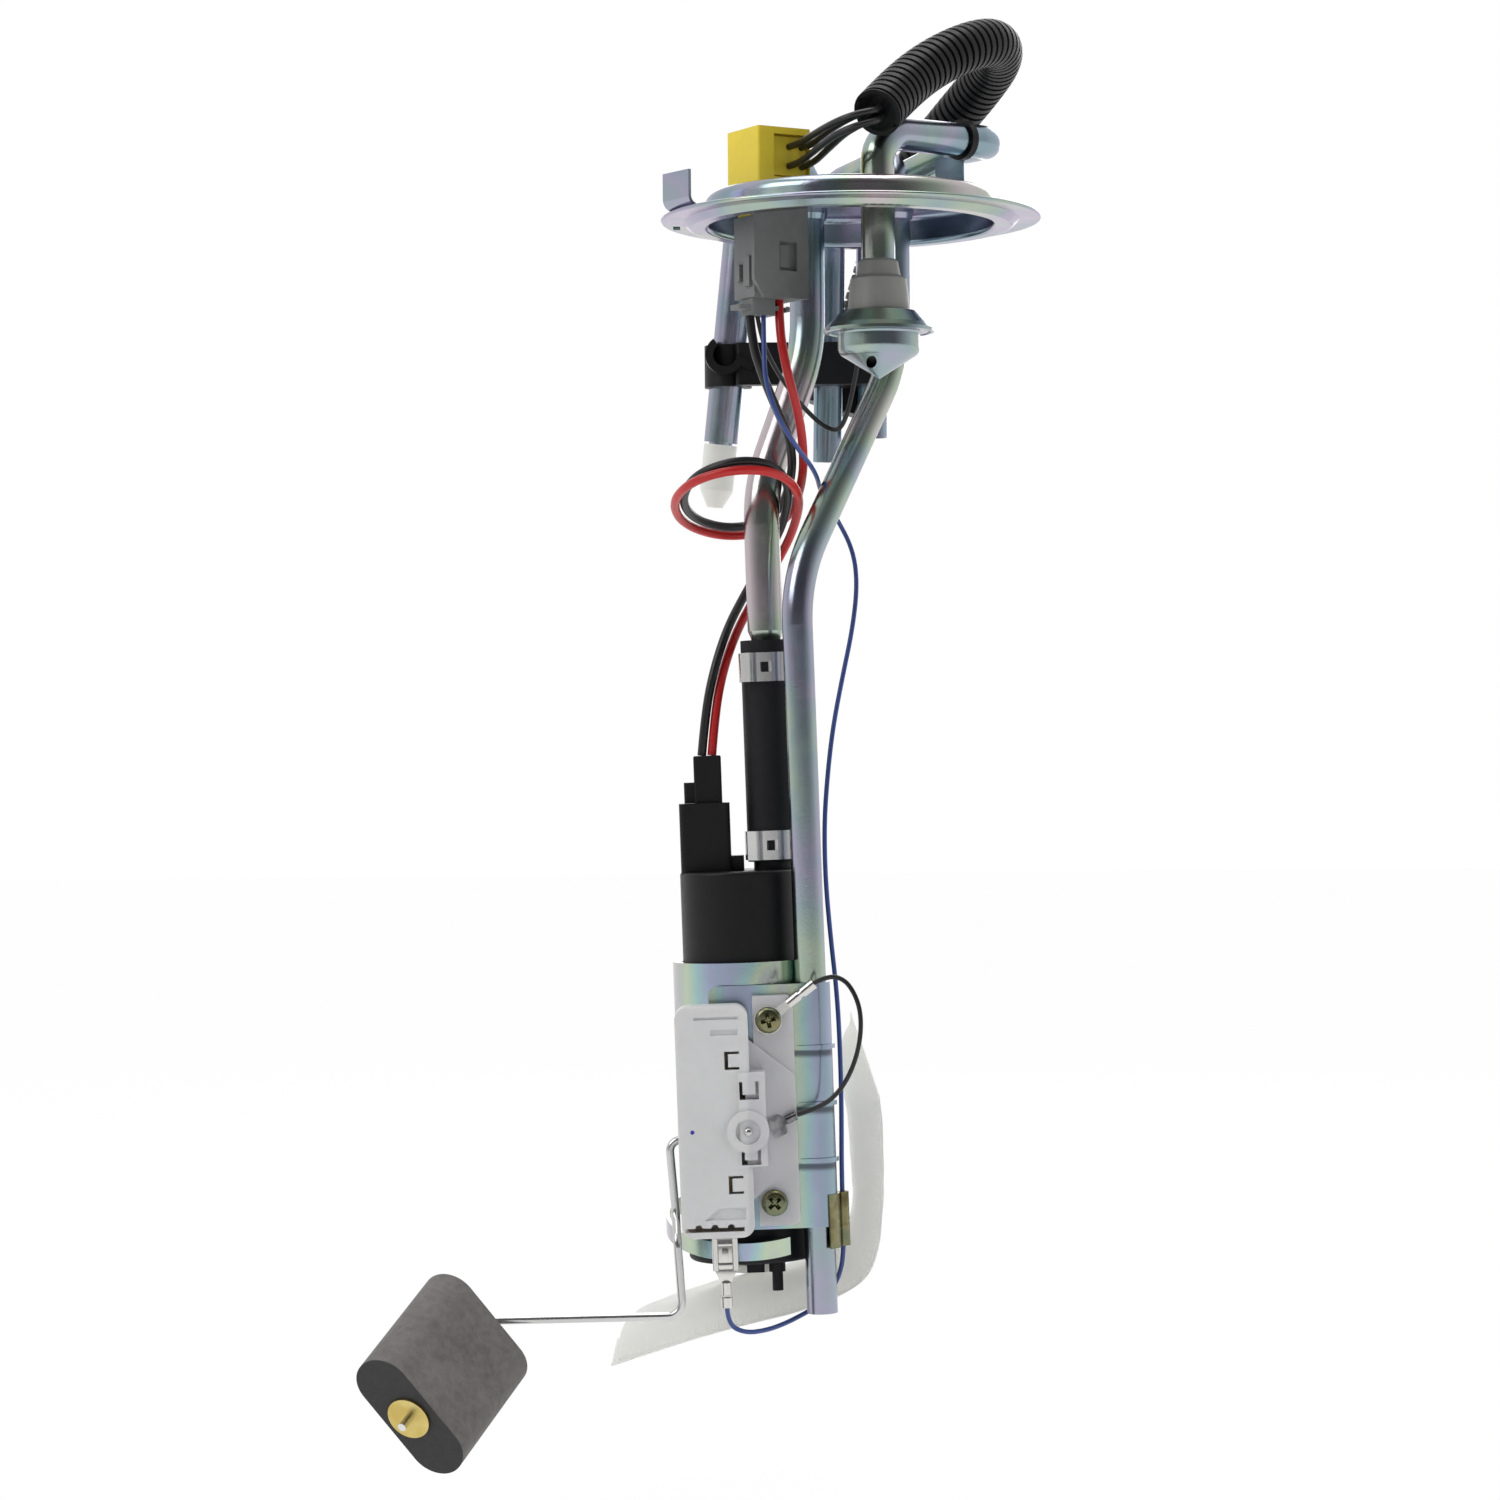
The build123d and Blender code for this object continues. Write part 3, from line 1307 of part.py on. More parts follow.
# Float arm: one bent steel wire that turns in the sender's hub
pivot = hung_point(pivot_u, 0, pivot_w)
pivot_x, pivot_z = pivot[0], pivot[2]
arm_front_y = hang_y + sender_front - 2.6
float_far = (-119.8, -21.0, -345.0)
float_near = (-137.2, -60.0, -365.5)
float_axis = unit([n - f for n, f in zip(float_near, float_far)])
bend_before = 4.6
washer_thickness = 0.8
arm_elbow = tuple(Vector(*float_far) - float_axis * bend_before)
arm_end = tuple(Vector(*float_far) + float_axis * (float_length + 2 * float_clearance + washer_thickness + 4.2))
arm_lower_y = -19.0
with BuildPart() as float_arm:
    with BuildLine() as arm_route:
        FilletPolyline(
            (pivot_x, arm_front_y, pivot_z),
            (pivot_x, arm_y, pivot_z),
            arm_knee,
            (-57.7, arm_y, -311.0),
            (-57.2, arm_lower_y, -318.5),
            (-55.6, arm_lower_y, -341.8),
            arm_elbow,
            arm_end,
            radius=[2.4, 3.5, 5.0, 5.0, 4.6, 4.4],
        )
    with BuildSketch(Plane(origin=arm_route.line @ 0, z_dir=arm_route.line % 0)):
        Circle(wire_rod_radius)
    sweep()
    # Swaged collar that the float turns against
    with BuildSketch(Plane(origin=tuple(Vector(*float_far) - float_axis * 0.9), z_dir=float_axis)):
        Circle(2.3)
    extrude(amount=0.8)
float_arm.part.label = "float_arm"
export_step(float_arm.part, "parts/float_arm.step")

# Float: a stadium-shaped block of closed-cell foam, free to turn on the arm's end
float_long_axis = Vector(-0.53, 0.0, 0.848)
long_in_face = float_long_axis - float_axis * float_long_axis.dot(float_axis)
float_plane = Plane(origin=float_far, x_dir=tuple(long_in_face), z_dir=tuple(float_axis))
with BuildPart() as float_block:
    with BuildSketch(float_plane):
        SlotOverall(float_width, float_thickness)
        Circle(wire_rod_radius + running_gap, mode=Mode.SUBTRACT)
    extrude(amount=float_length)
float_block.part.label = "float"
export_step(float_block.part, "parts/float.step")

with BuildPart() as float_washer:
    with BuildSketch(float_plane.offset(float_length + float_clearance)):
        Circle(washer_radius)
        Circle(wire_rod_radius, mode=Mode.SUBTRACT)
    extrude(amount=washer_thickness)
float_washer.part.label = "float_washer"
export_step(float_washer.part, "parts/float_washer.step")

# Cap on the supply tube's far end, and the clip that holds the three tubes
with BuildPart() as tube_cap:
    with BuildSketch(rear_end.offset(2.0)):
        Circle(5.6)
        Circle(supply_end_radius, mode=Mode.SUBTRACT)
    extrude(amount=15.2)
    with BuildSketch(rear_end.offset(17.2)):
        Circle(5.6)
    with BuildSketch(rear_end.offset(23.0)):
        Circle(2.6)
    loft()
tube_cap.part.label = "tube_cap"
export_step(tube_cap.part, "parts/tube_cap.step")

clip_bottom, clip_height = -45.0, 14.0
seat_clearance = 0.05
rear_legs = (
    (supply_rear_top, supply_rear_end, supply_radius),
    ((-4.5, 71.0, 22.0), return_rear_end, return_radius),
    ((9.0, 72.0, 19.0), vent_rear_end, vent_radius),
)


def leg_point(leg, height):
    """Where the centre line of a rear leg crosses a height."""
    top, end, _ = leg
    share = (height - end[2]) / (top[2] - end[2])
    return (end[0] + share * (top[0] - end[0]), end[1] + share * (top[1] - end[1]))


clip_middle = clip_bottom + clip_height / 2
hook_centre = (-40.5, -35.0)
with BuildPart() as tube_clip:
    with BuildSketch(Plane.XY.offset(clip_bottom)):
        with Locations((-12.5, 65.0)):
            RectangleRounded(49.0, 5.0, 1.5)
        for leg in rear_legs:
            with Locations(leg_point(leg, clip_middle)):
                Circle(leg[2] + 2.2)
        with Locations((-12.5, 80.6)):
            Rectangle(80.0, 6.0, mode=Mode.SUBTRACT)
    extrude(amount=clip_height)
    # Open hook at the left for the line beside the module, facing the sender side
    with BuildSketch(Plane.XZ.offset(-70.0)):
        with BuildLine():
            hook = CenterArc(hook_centre, 5.2, 125, 215)
            Line(hook @ 1, (hook_centre[0] + 9.0, hook_centre[1] - 4.4))
        trace(line_width=2.6)
    extrude(amount=8.5)
    for leg in rear_legs:
        top, end, outer = leg
        leg_plane = Plane(origin=end, z_dir=Vector(*top) - Vector(*end))
        with BuildSketch(leg_plane):
            Circle(outer + seat_clearance)
        extrude(amount=60.0, mode=Mode.SUBTRACT)
tube_clip.part.label = "tube_clip"
export_step(tube_clip.part, "parts/tube_clip.step")

# Cable tie round the vent tube's far run
tie_from, tie_direction = Vector(*vent_far), unit([far - top for far, top in zip(vent_far, vent_top)])
with BuildPart() as cable_tie:
    with BuildSketch(Plane(origin=tie_from + tie_direction * -15.0, z_dir=tie_direction)):
        Circle(vent_radius + 1.1)
        Circle(vent_radius, mode=Mode.SUBTRACT)
        with Locations((vent_radius + 2.2, 0)):
            Rectangle(3.4, 4.2)
        Circle(vent_radius, mode=Mode.SUBTRACT)
    extrude(amount=2.6)
cable_tie.part.label = "cable_tie"
export_step(cable_tie.part, "parts/cable_tie.step")

# Harness connector on the loom's far end, with its seal
loom_end = (1.0, 88.0, -36.0)
harness_direction = unit((-0.316, -0.027, -0.948))
harness = Plane(origin=loom_end, x_dir=(0, 1, 0), z_dir=tuple(harness_direction))
with BuildPart() as harness_connector:
    with BuildSketch(harness):
        RectangleRounded(12.0, 17.0, 2.0)
    extrude(amount=16.0)
    with BuildSketch(harness.offset(16.0)):
        Circle(3.0)
    extrude(amount=10.0)
    with BuildSketch(harness.offset(26.0)):
        Circle(3.4)
    with BuildSketch(harness.offset(33.0)):
        Circle(1.6)
    loft()
harness_connector.part.label = "harness_connector"
export_step(harness_connector.part, "parts/harness_connector.step")

with BuildPart() as harness_seal:
    with BuildSketch(harness.offset(16.5)):
        Circle(4.0)
        Circle(3.0, mode=Mode.SUBTRACT)
    extrude(amount=8.0)
    for rib in range(4):
        with BuildSketch(harness.offset(17.0 + 1.9 * rib)):
            Circle(4.6)
            Circle(3.0, mode=Mode.SUBTRACT)
        extrude(amount=1.0)
harness_seal.part.label = "harness_seal"
export_step(harness_seal.part, "parts/harness_seal.step")

# Free wires and the loom. Each route is chosen by hand along what the wire does between its ends.
loom_route = [
    (7.4, -34.0, 28.6),
    (14.4, -22.0, 37.6),
    (24.6, -10.0, 47.4),
    (37.0, 2.0, 55.4),
    (47.2, 16.0, 59.6),
    (49.8, 32.0, 57.2),
    (44.6, 48.0, 51.0),
    (35.6, 63.0, 42.0),
    (25.6, 76.0, 31.0),
    (17.8, 85.0, 17.0),
    (12.6, 88.6, 1.0),
    (8.0, 88.6, -15.0),
    loom_end,
]
export_step(cord_solid("loom", loom_route, loom_radius), "parts/loom.step")

lock_exit = lock_bottom
black_start = through.from_local_coords((-6.6, 1.5, lock_exit))
red_start = through.from_local_coords((*red_exit, tank_bottom))
blue_start = through.from_local_coords((-3.4, -1.6, lock_exit))
thin_start = through.from_local_coords((-3.6, 1.8, lock_exit))
plug_top = tower_top - 14.9 + plug_length
black_end = hung_point(plug_u - 1.6, 0, plug_top)
red_end = hung_point(plug_u + 1.6, 0, plug_top)

black_route = [
    tuple(black_start),
    (-31.4, -9.4, -39.0),
    (-28.6, -9.6, -48.5),
    (-24.3, -6.5, -58.8),
    (-19.8, 0.0, -68.0),
    (-18.8, 9.5, -77.5),
    (-22.0, 22.5, -88.5),
    (-30.5, 31.0, -93.5),
    (-41.5, 31.5, -94.5),
    (-51.5, 22.5, -91.5),
    (-54.6, 7.5, -86.0),
    (-49.5, -6.0, -79.5),
    (-37.2, -11.0, -75.6),
    (-25.5, -6.5, -76.4),
    (-19.8, 5.0, -82.5),
    (-21.4, 20.0, -92.4),
    (-26.8, 28.5, -103.0),
    (-33.8, 25.5, -114.8),
    (-40.2, 18.5, -127.0),
    (-44.6, 14.6, -140.5),
    (-47.4, 13.8, -154.0),
    black_end,
]
red_route = [
    tuple(red_start),
    (-22.9, -8.6, -35.0),
    (-21.0, -9.0, -46.5),
    (-18.0, -6.6, -57.4),
    (-15.8, 0.6, -67.8),
    (-15.4, 11.0, -79.5),
    (-19.4, 26.0, -91.5),
    (-29.5, 34.6, -96.2),
    (-42.2, 35.2, -97.0),
    (-54.2, 24.6, -93.6),
    (-57.6, 7.5, -87.6),
    (-51.2, -8.6, -82.0),
    (-37.6, -13.6, -78.6),
    (-23.6, -8.6, -79.2),
    (-16.4, 4.4, -85.0),
    (-18.2, 20.6, -94.8),
    (-23.8, 31.0, -105.4),
    (-31.6, 28.4, -117.4),
    (-38.0, 21.0, -129.6),
    (-42.2, 16.4, -142.6),
    (-44.4, 14.4, -155.0),
    red_end,
]
export_step(cord_solid("wire_black", black_route, pump_wire_radius), "parts/wire_black.step")
export_step(cord_solid("wire_red", red_route, pump_wire_radius), "parts/wire_red.step")

terminal_end = hung_point(terminal_u, tab_v - 1.2, sender_bottom - 21.8)
blue_route = [
    tuple(blue_start),
    (-27.9, -13.0, -40.0),
    (-27.6, -15.0, -51.0),
    (-24.2, -15.0, -62.0),
    (-18.2, -11.5, -71.5),
    (-11.6, 4.0, -78.5),
    (-9.8, 19.5, -84.5),
    (-4.4, 28.5, -92.0),
    (0.6, 29.0, -102.0),
    (1.8, 26.0, -113.0),
    (0.0, 21.0, -127.5),
    (-3.6, 16.0, -143.5),
    (-6.8, 11.0, -159.0),
    (-8.8, 7.0, -174.5),
    (-10.0, 5.0, -190.0),
    (-9.8, 4.0, -207.0),
    (-8.4, 3.4, -225.0),
    (-6.4, 3.0, -244.0),
    (-5.6, 2.0, -263.0),
    (-5.4, 0.8, -281.0),
    hung_point(*clip_wire_centre, -60.0),
    hung_point(*clip_wire_centre, -86.0),
    (-6.8, 2.0, -333.6),
    (-11.4, 2.9, -341.0),
    (-17.6, 2.6, -344.6),
    (-24.0, -4.0, -346.8),
    (-30.0, -12.0, -347.6),
    (-36.4, -18.0, -347.4),
    (-41.6, -20.4, -344.4),
    terminal_end,
]
export_step(cord_solid("wire_blue", blue_route, thin_wire_radius), "parts/wire_blue.step")

ring_end = hung_point(*tuple(terminal_plane.from_local_coords((ring_reach, 0, ground_lift))))
contact_end = hung_point(*tuple(contact_plane.from_local_coords((7.1, 0.6, 1.5))))
ground_route = [
    ring_end,
    (-9.6, -17.5, -236.6),
    (-4.8, -18.6, -237.6),
    (-1.6, -19.6, -241.8),
    (0.4, -20.0, -248.0),
    (0.2, -20.2, -256.4),
    (-2.2, -20.0, -265.2),
    (-6.4, -19.4, -272.6),
    (-12.2, -18.8, -277.4),
    contact_end,
]
export_step(cord_solid("wire_ground", ground_route, thin_wire_radius), "parts/wire_ground.step")

thin_route = [
    tuple(thin_start),
    (-28.4, -5.6, -38.0),
    (-25.0, -1.0, -45.0),
    (-20.4, 5.0, -51.6),
    (-14.6, 9.5, -58.4),
    (-9.0, 10.5, -63.6),
    (-4.2, 9.0, -65.4),
    (-1.4, 7.0, -60.0),
    (0.8, 6.0, -50.0),
    (2.8, 5.0, -39.0),
    (4.4, 5.0, -27.0),
    (5.2, 6.0, -15.0),
    (5.4, 7.0, -4.0),
    (5.4, 7.4, roof_under - 0.2),
]
export_step(cord_solid("wire_case_ground", thin_route, thin_wire_radius), "parts/wire_case_ground.step")

# Four harness wires from the connector's right face, round in front of the loom's mouth and into it
harness_wire_radius = 1.1
mouth_axis = unit([b - a for a, b in zip(loom_route[0], loom_route[1])])
mouth = Vector(*loom_route[0])
face_point = harness_face.from_local_coords((2.0, 0, -1.2))
face_axis = harness_face.z_dir
middle_line = [
    face_point,
    face_point + face_axis * 6.0,
    Vector(-9.8, -26.0, 23.6),
    Vector(-4.2, -36.6, 25.4),
    Vector(0.8, -39.6, 26.4),
    Vector(5.0, -38.0, 27.2),
    mouth - Vector(*mouth_axis) * 0.6,
]
spreads = [(2.3, 3.0), (2.3, 3.0), (2.0, 2.2), (1.6, 1.6), (1.5, 1.5), (1.5, 1.5), (1.5, 1.5)]
headings = [face_axis, face_axis]
headings += [(middle_line[i + 1] - middle_line[i - 1]).normalized() for i in range(2, len(middle_line) - 1)]
headings += [Vector(*mouth_axis)]
with BuildPart() as harness_wires:
    for column in (-1, 1):
        for row in (-1, 1):
            points = []
            for centre, heading, spread in zip(middle_line, headings, spreads):
                left = Vector(0, 0, 1).cross(heading).normalized()
                up = heading.cross(left)
                points.append(tuple(centre + left * (column * spread[0]) + up * (row * spread[1])))
            add(cord_solid(f"harness wire {column} {row}", points, harness_wire_radius))
harness_wires.part.label = "harness_wires"
export_step(harness_wires.part, "parts/harness_wires.step")
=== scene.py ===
# %% [markdown]
# # A fuel pump module, dressed around its CAD frame
# The part hangs in a fuel tank: a plated steel flange on top, tubes, an electric pump in a sleeve,
# a level sender with a float, a strainer sock and loose wires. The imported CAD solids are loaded
# first. Everything here is made in metres in that same frame, so each piece lands where it belongs.

# %% Load the frame
import bpy
import bmesh
import math
from mathutils import Matrix, Vector, noise


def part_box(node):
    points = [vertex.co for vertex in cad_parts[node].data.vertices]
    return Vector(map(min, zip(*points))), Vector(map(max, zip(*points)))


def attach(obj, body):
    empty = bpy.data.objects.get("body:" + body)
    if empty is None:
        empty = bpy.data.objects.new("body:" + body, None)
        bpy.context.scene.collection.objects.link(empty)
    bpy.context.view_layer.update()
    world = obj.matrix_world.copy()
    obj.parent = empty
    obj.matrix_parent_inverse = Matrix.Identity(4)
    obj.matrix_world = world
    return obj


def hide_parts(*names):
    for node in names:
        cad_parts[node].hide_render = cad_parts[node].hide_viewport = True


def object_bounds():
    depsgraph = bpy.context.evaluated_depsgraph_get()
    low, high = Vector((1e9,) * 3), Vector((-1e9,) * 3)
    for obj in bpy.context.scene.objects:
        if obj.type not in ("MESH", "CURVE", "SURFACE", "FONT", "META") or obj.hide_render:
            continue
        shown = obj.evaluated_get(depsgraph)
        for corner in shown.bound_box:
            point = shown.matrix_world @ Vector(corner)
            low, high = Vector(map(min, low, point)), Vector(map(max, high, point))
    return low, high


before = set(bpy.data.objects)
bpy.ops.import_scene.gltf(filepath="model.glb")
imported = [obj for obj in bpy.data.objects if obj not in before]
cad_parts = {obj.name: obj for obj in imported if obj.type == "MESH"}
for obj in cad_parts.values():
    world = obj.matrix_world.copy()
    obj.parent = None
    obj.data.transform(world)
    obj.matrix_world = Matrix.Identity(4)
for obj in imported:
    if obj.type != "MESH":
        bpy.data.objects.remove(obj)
cad_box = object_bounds()
MM = 0.001
print("nodes in the frame:", len(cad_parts))

# %% [markdown]
# ## Camera
# The photograph was taken from well in front, level, a little above the middle of the module, with
# the camera rolled half a degree. A long lens keeps the flange's ellipse as flat as it is there. The
# focal length is first told in pixels of the 1500 pixel frame and then turned into millimetres of
# lens, so it holds at any render size. Standard colour keeps each finish as it is written.

# %% Camera
frame_width_px, focal_px = 1500, 3763
sensor_mm = 36.0
eye_place = (-0.0333, -1.187, -0.1663)
eye_roll = math.radians(0.5)

eye = bpy.data.objects.new("eye", bpy.data.cameras.new("eye"))
bpy.context.scene.collection.objects.link(eye)
eye.data.sensor_width = sensor_mm
eye.data.lens = sensor_mm * focal_px / frame_width_px
eye.data.clip_start = 0.05
eye.matrix_world = (
    Matrix.Translation(eye_place)
    @ Matrix.Rotation(eye_roll, 4, "Y")
    @ Matrix.Rotation(math.radians(90), 4, "X")
)
bpy.context.scene.camera = eye
bpy.context.scene.view_settings.view_transform = "Standard"
print("lens", round(eye.data.lens, 2), "mm")

# %% [markdown]
# ## A small kit for shaders
# Materials are node graphs. Written out by hand they are long, so one class wraps a socket and lets
# Python's own + - and * build the Math nodes, and one method adds any other node. Pattern formulas
# then read like arithmetic. Colours never pass through a Math node, which would turn them grey: they
# have a mix of their own.


# %% Shader kit
class Wire:
    """One output socket that takes part in arithmetic."""

    def __init__(self, shade, socket):
        self.shade, self.socket = shade, socket

    def math(self, operation, *others):
        return self.shade.node("Math", {"operation": operation}, dict(enumerate((self,) + others)))

    def __add__(self, other):
        return self.math("ADD", other)

    __radd__ = __add__

    def __sub__(self, other):
        return self.math("SUBTRACT", other)

    def __rsub__(self, other):
        return self.shade.node("Math", {"operation": "SUBTRACT"}, {0: other, 1: self})

    def __mul__(self, other):
        return self.math("MULTIPLY", other)

    __rmul__ = __mul__

    def band(self, low, high):
        """0 below low, 1 above high, smooth between."""
        ramp = {"interpolation_type": "SMOOTHSTEP"}
        return self.shade.node("MapRange", ramp, {"Value": self, "From Min": low, "From Max": high})


class Shade:
    """A material's graph, its coordinates and its main shader. It starts a new one, or opens one again."""

    def __init__(self, name, material=None):
        self.material = material or bpy.data.materials.new(name)
        self.material.use_nodes = True
        self.tree = self.material.node_tree
        self.main = next(n for n in self.tree.nodes if n.type == "BSDF_PRINCIPLED")
        self.place = self.node("TexCoord", {}, {}, "Object")

    def node(self, kind, settings, inputs, output=0):
        """Adds any node: its settings first, then what its sockets hold or are linked to."""
        made = self.tree.nodes.new("ShaderNode" + kind)
        for key, value in settings.items():
            if key == "stops":
                ramp = made.color_ramp
                while len(ramp.elements) < len(value):
                    ramp.elements.new(1.0)
                for element, (position, colour) in zip(ramp.elements, value):
                    element.position, element.color = position, (*colour, 1.0)
            else:
                setattr(made, key, value)
        for key, value in inputs.items():
            self.feed(made.inputs[key], value)
        return Wire(self, made.outputs[output])

    def feed(self, socket, value):
        if isinstance(value, Wire):
            self.tree.links.new(value.socket, socket)
        else:
            socket.default_value = value

    def set(self, **values):
        for key, value in values.items():
            self.feed(self.main.inputs[key.replace("_", " ").title().replace("Ior", "IOR")], value)

    def noise(self, scale, detail=3.0, roughness=0.55):
        inputs = {"Vector": self.place, "Scale": scale, "Detail": detail, "Roughness": roughness}
        return self.node("TexNoise", {}, inputs, "Fac")

    def part(self, letter, vector=None):
        """One coordinate of a point: X, Y or Z."""
        return self.node("SeparateXYZ", {}, {"Vector": vector or self.place}, letter)

    def ramp(self, factor, stops):
        return self.node("ValToRGB", {"stops": stops}, {"Fac": factor})

    def mix(self, factor, first, second):
        colours = [c if isinstance(c, Wire) else (*c, 1.0) for c in (first, second)]
        inputs = {"Factor": factor, 6: colours[0], 7: colours[1]}
        return self.node("Mix", {"data_type": "RGBA"}, inputs, 2)

    def bump(self, height, distance, strength=1.0):
        inputs = {"Height": height, "Distance": distance, "Strength": strength}
        self.set(normal=self.node("Bump", {}, inputs))

    def blend(self, factor, other):
        """Lays another shader over the main one."""
        both = {0: factor, 1: Wire(self, self.main.outputs[0]), 2: other}
        shown = self.node("MixShader", {}, both)
        end = next(n for n in self.tree.nodes if n.type == "OUTPUT_MATERIAL")
        self.tree.links.new(shown.socket, end.inputs["Surface"])


# %% [markdown]
# ## Plated steel
# The flange, its tubes and the bracket are steel with a clear-blue passivated zinc coat. On the real
# part it drifts between grey, lilac, teal and straw, because the coat's thickness changes. A true
# thin film could be simulated, but soft noise through a ramp of those tints is steadier in every
# light. The tint drifts slowly along a tube. Over the stamped bracket, which is plated brighter, it
# also swings from side to side in upright bands. The rim colour is what shows at a glancing angle,
# and fine noise roughens the gloss. Steel, brass, tin and solder are the same recipe in other tints.


# %% Plated metals
def plated(name, tints, rough, grain, rim=(1.0, 1.0, 1.0), drift=(9.0, 34.0), sweep=0.0):
    """A metal. drift holds the scales of its slow and quick noise; sweep is the width of a band."""
    shade = Shade(name)
    cloud = shade.noise(drift[0], 3.0, 0.5) * 0.7 + shade.noise(drift[1], 2.0, 0.5) * 0.3
    cloud = cloud.band(0.3, 0.7)
    if sweep:
        bands = (shade.part("X") * (2 * math.pi / sweep) + cloud * 1.6).math("SINE")
        cloud = cloud * 0.3 + bands * 0.35 + 0.35
    colour = shade.ramp(cloud, tints)
    worn = shade.noise(170.0, 3.0)
    shade.set(base_color=colour, metallic=1.0, roughness=rough + 0.1 * worn)
    shade.set(specular_tint=(*rim, 1.0))
    shade.bump(shade.noise(grain, 2.0), 0.00003, 0.35)
    return shade.material


film = [
    (0.0, (0.22, 0.33, 0.36)),
    (0.25, (0.29, 0.38, 0.44)),
    (0.45, (0.40, 0.39, 0.50)),
    (0.62, (0.33, 0.42, 0.44)),
    (0.8, (0.41, 0.50, 0.40)),
    (0.95, (0.56, 0.50, 0.52)),
]
bright_film = [
    (0.0, (0.27, 0.40, 0.43)),
    (0.3, (0.36, 0.40, 0.54)),
    (0.55, (0.34, 0.52, 0.52)),
    (0.8, (0.50, 0.58, 0.44)),
    (1.0, (0.42, 0.42, 0.52)),
]
olive_film = [(0.0, (0.12, 0.10, 0.045)), (0.5, (0.27, 0.25, 0.13)), (1.0, (0.17, 0.20, 0.13))]
dull_solder = [(0.0, (0.05, 0.05, 0.055)), (1.0, (0.34, 0.34, 0.35))]
bare_steel = [(0.0, (0.50, 0.50, 0.50)), (1.0, (0.72, 0.72, 0.71))]
yellow_brass = [(0.0, (0.58, 0.44, 0.13)), (1.0, (0.74, 0.62, 0.26))]
pale_tin = [(0.0, (0.60, 0.59, 0.56)), (1.0, (0.80, 0.79, 0.76))]
wound_copper = [(0.0, (0.62, 0.30, 0.16)), (1.0, (0.80, 0.44, 0.26))]
lilac_rim = (1.0, 0.92, 0.97)
bracket_drift = (22.0, 50.0)
small_drift = (60.0, 240.0)

zinc = plated("zinc", film, 0.17, 1500.0, lilac_rim)
bright_zinc = plated("bright_zinc", bright_film, 0.17, 1500.0, lilac_rim, bracket_drift, 0.03)
plate_zinc = plated("plate_zinc", bright_film, 0.2, 1500.0, lilac_rim, bracket_drift, 0.026)
solder = plated("solder", dull_solder, 0.12, 900.0, drift=(120.0, 400.0))
steel = plated("steel", bare_steel, 0.2, 1800.0)
chromate = plated("chromate", olive_film, 0.22, 1500.0, drift=small_drift)
brass = plated("brass", yellow_brass, 0.26, 1500.0, drift=small_drift)
tinned = plated("tinned", pale_tin, 0.2, 2200.0)
copper = plated("copper", wound_copper, 0.3, 1500.0)
print("made", len(bpy.data.materials), "metals")


# %% [markdown]
# ## Moulded plastics and rubber
# Moulded parts are never one flat colour: the skin is a little cloudy and the tool's spark texture
# breaks up the gloss. One function makes them all, given the colour, its drift, and the size of the
# grain. The natural nylon of the sender and the valve lets a little light in, so it gets some
# subsurface scattering, set as a constant. The blacks reflect less than the rest.


# %% Moulded finishes
def moulded(name, colour, drift, rough, grain=900.0, depth=0.00005, inside=0.0, gloss=0.5):
    shade = Shade(name)
    shade.set(specular_ior_level=gloss)
    dark = tuple(c * (1 - drift) for c in colour)
    light = tuple(min(1.0, c * (1 + drift)) for c in colour)
    cloud = shade.noise(40.0, 3.0) * 0.6 + shade.noise(260.0, 2.0) * 0.4
    shade.set(base_color=shade.ramp(cloud.band(0.3, 0.7), [(0.0, dark), (1.0, light)]))
    shade.set(roughness=rough + 0.12 * shade.noise(500.0, 2.0))
    shade.bump(shade.noise(grain, 3.0), depth, 0.6)
    if inside:
        shade.set(subsurface_weight=inside, subsurface_scale=1.0)
        shade.set(subsurface_radius=(0.004, 0.003, 0.0022))
    return shade.material


yellow_plastic = moulded("yellow_plastic", (0.90, 0.69, 0.04), 0.04, 0.36)
grey_plastic = moulded("grey_plastic", (0.17, 0.175, 0.175), 0.08, 0.4)
white_plastic = moulded("white_plastic", (0.80, 0.80, 0.75), 0.03, 0.34, inside=0.25)
sender_plastic = moulded("sender_plastic", (0.70, 0.70, 0.70), 0.03, 0.34, inside=0.25)
valve_nylon = moulded("valve_nylon", (0.25, 0.25, 0.235), 0.05, 0.38, inside=0.2)
black_plastic = moulded("black_plastic", (0.006, 0.006, 0.007), 0.2, 0.36, gloss=0.26)
brown_plastic = moulded("brown_plastic", (0.16, 0.075, 0.03), 0.15, 0.4)
rubber = moulded("rubber", (0.007, 0.007, 0.009), 0.25, 0.45, 1400.0, 0.00008, gloss=0.24)
green_rubber = moulded("green_rubber", (0.03, 0.22, 0.10), 0.1, 0.42)
insulation_red = moulded("insulation_red", (0.50, 0.012, 0.012), 0.08, 0.26, 400.0, 0.00003)
insulation_black = moulded("insulation_black", (0.010, 0.010, 0.011), 0.2, 0.28, 400.0, 0.00003)
insulation_blue = moulded("insulation_blue", (0.035, 0.07, 0.26), 0.12, 0.28, 400.0, 0.00003)


# %% [markdown]
# ## Marks on two finishes
# Two finishes carry something that sits at one place on the module. The bracket's plate has
# three ribs pressed across it, and a painted shadow darkens the corner below each. The sender's
# housing has an ear with a thin wall, which the metal behind it tones down, and one small dot of
# marker ink from an inspection. Each mark is a mask made from the point's own coordinates, mixed
# over the colour that the material has already.


# %% Marks
def reopened(material):
    """The Shade of a finished material, and the colour it has so far."""
    shade = Shade(material.name, material)
    return shade, Wire(shade, shade.main.inputs["Base Color"].links[0].from_socket)


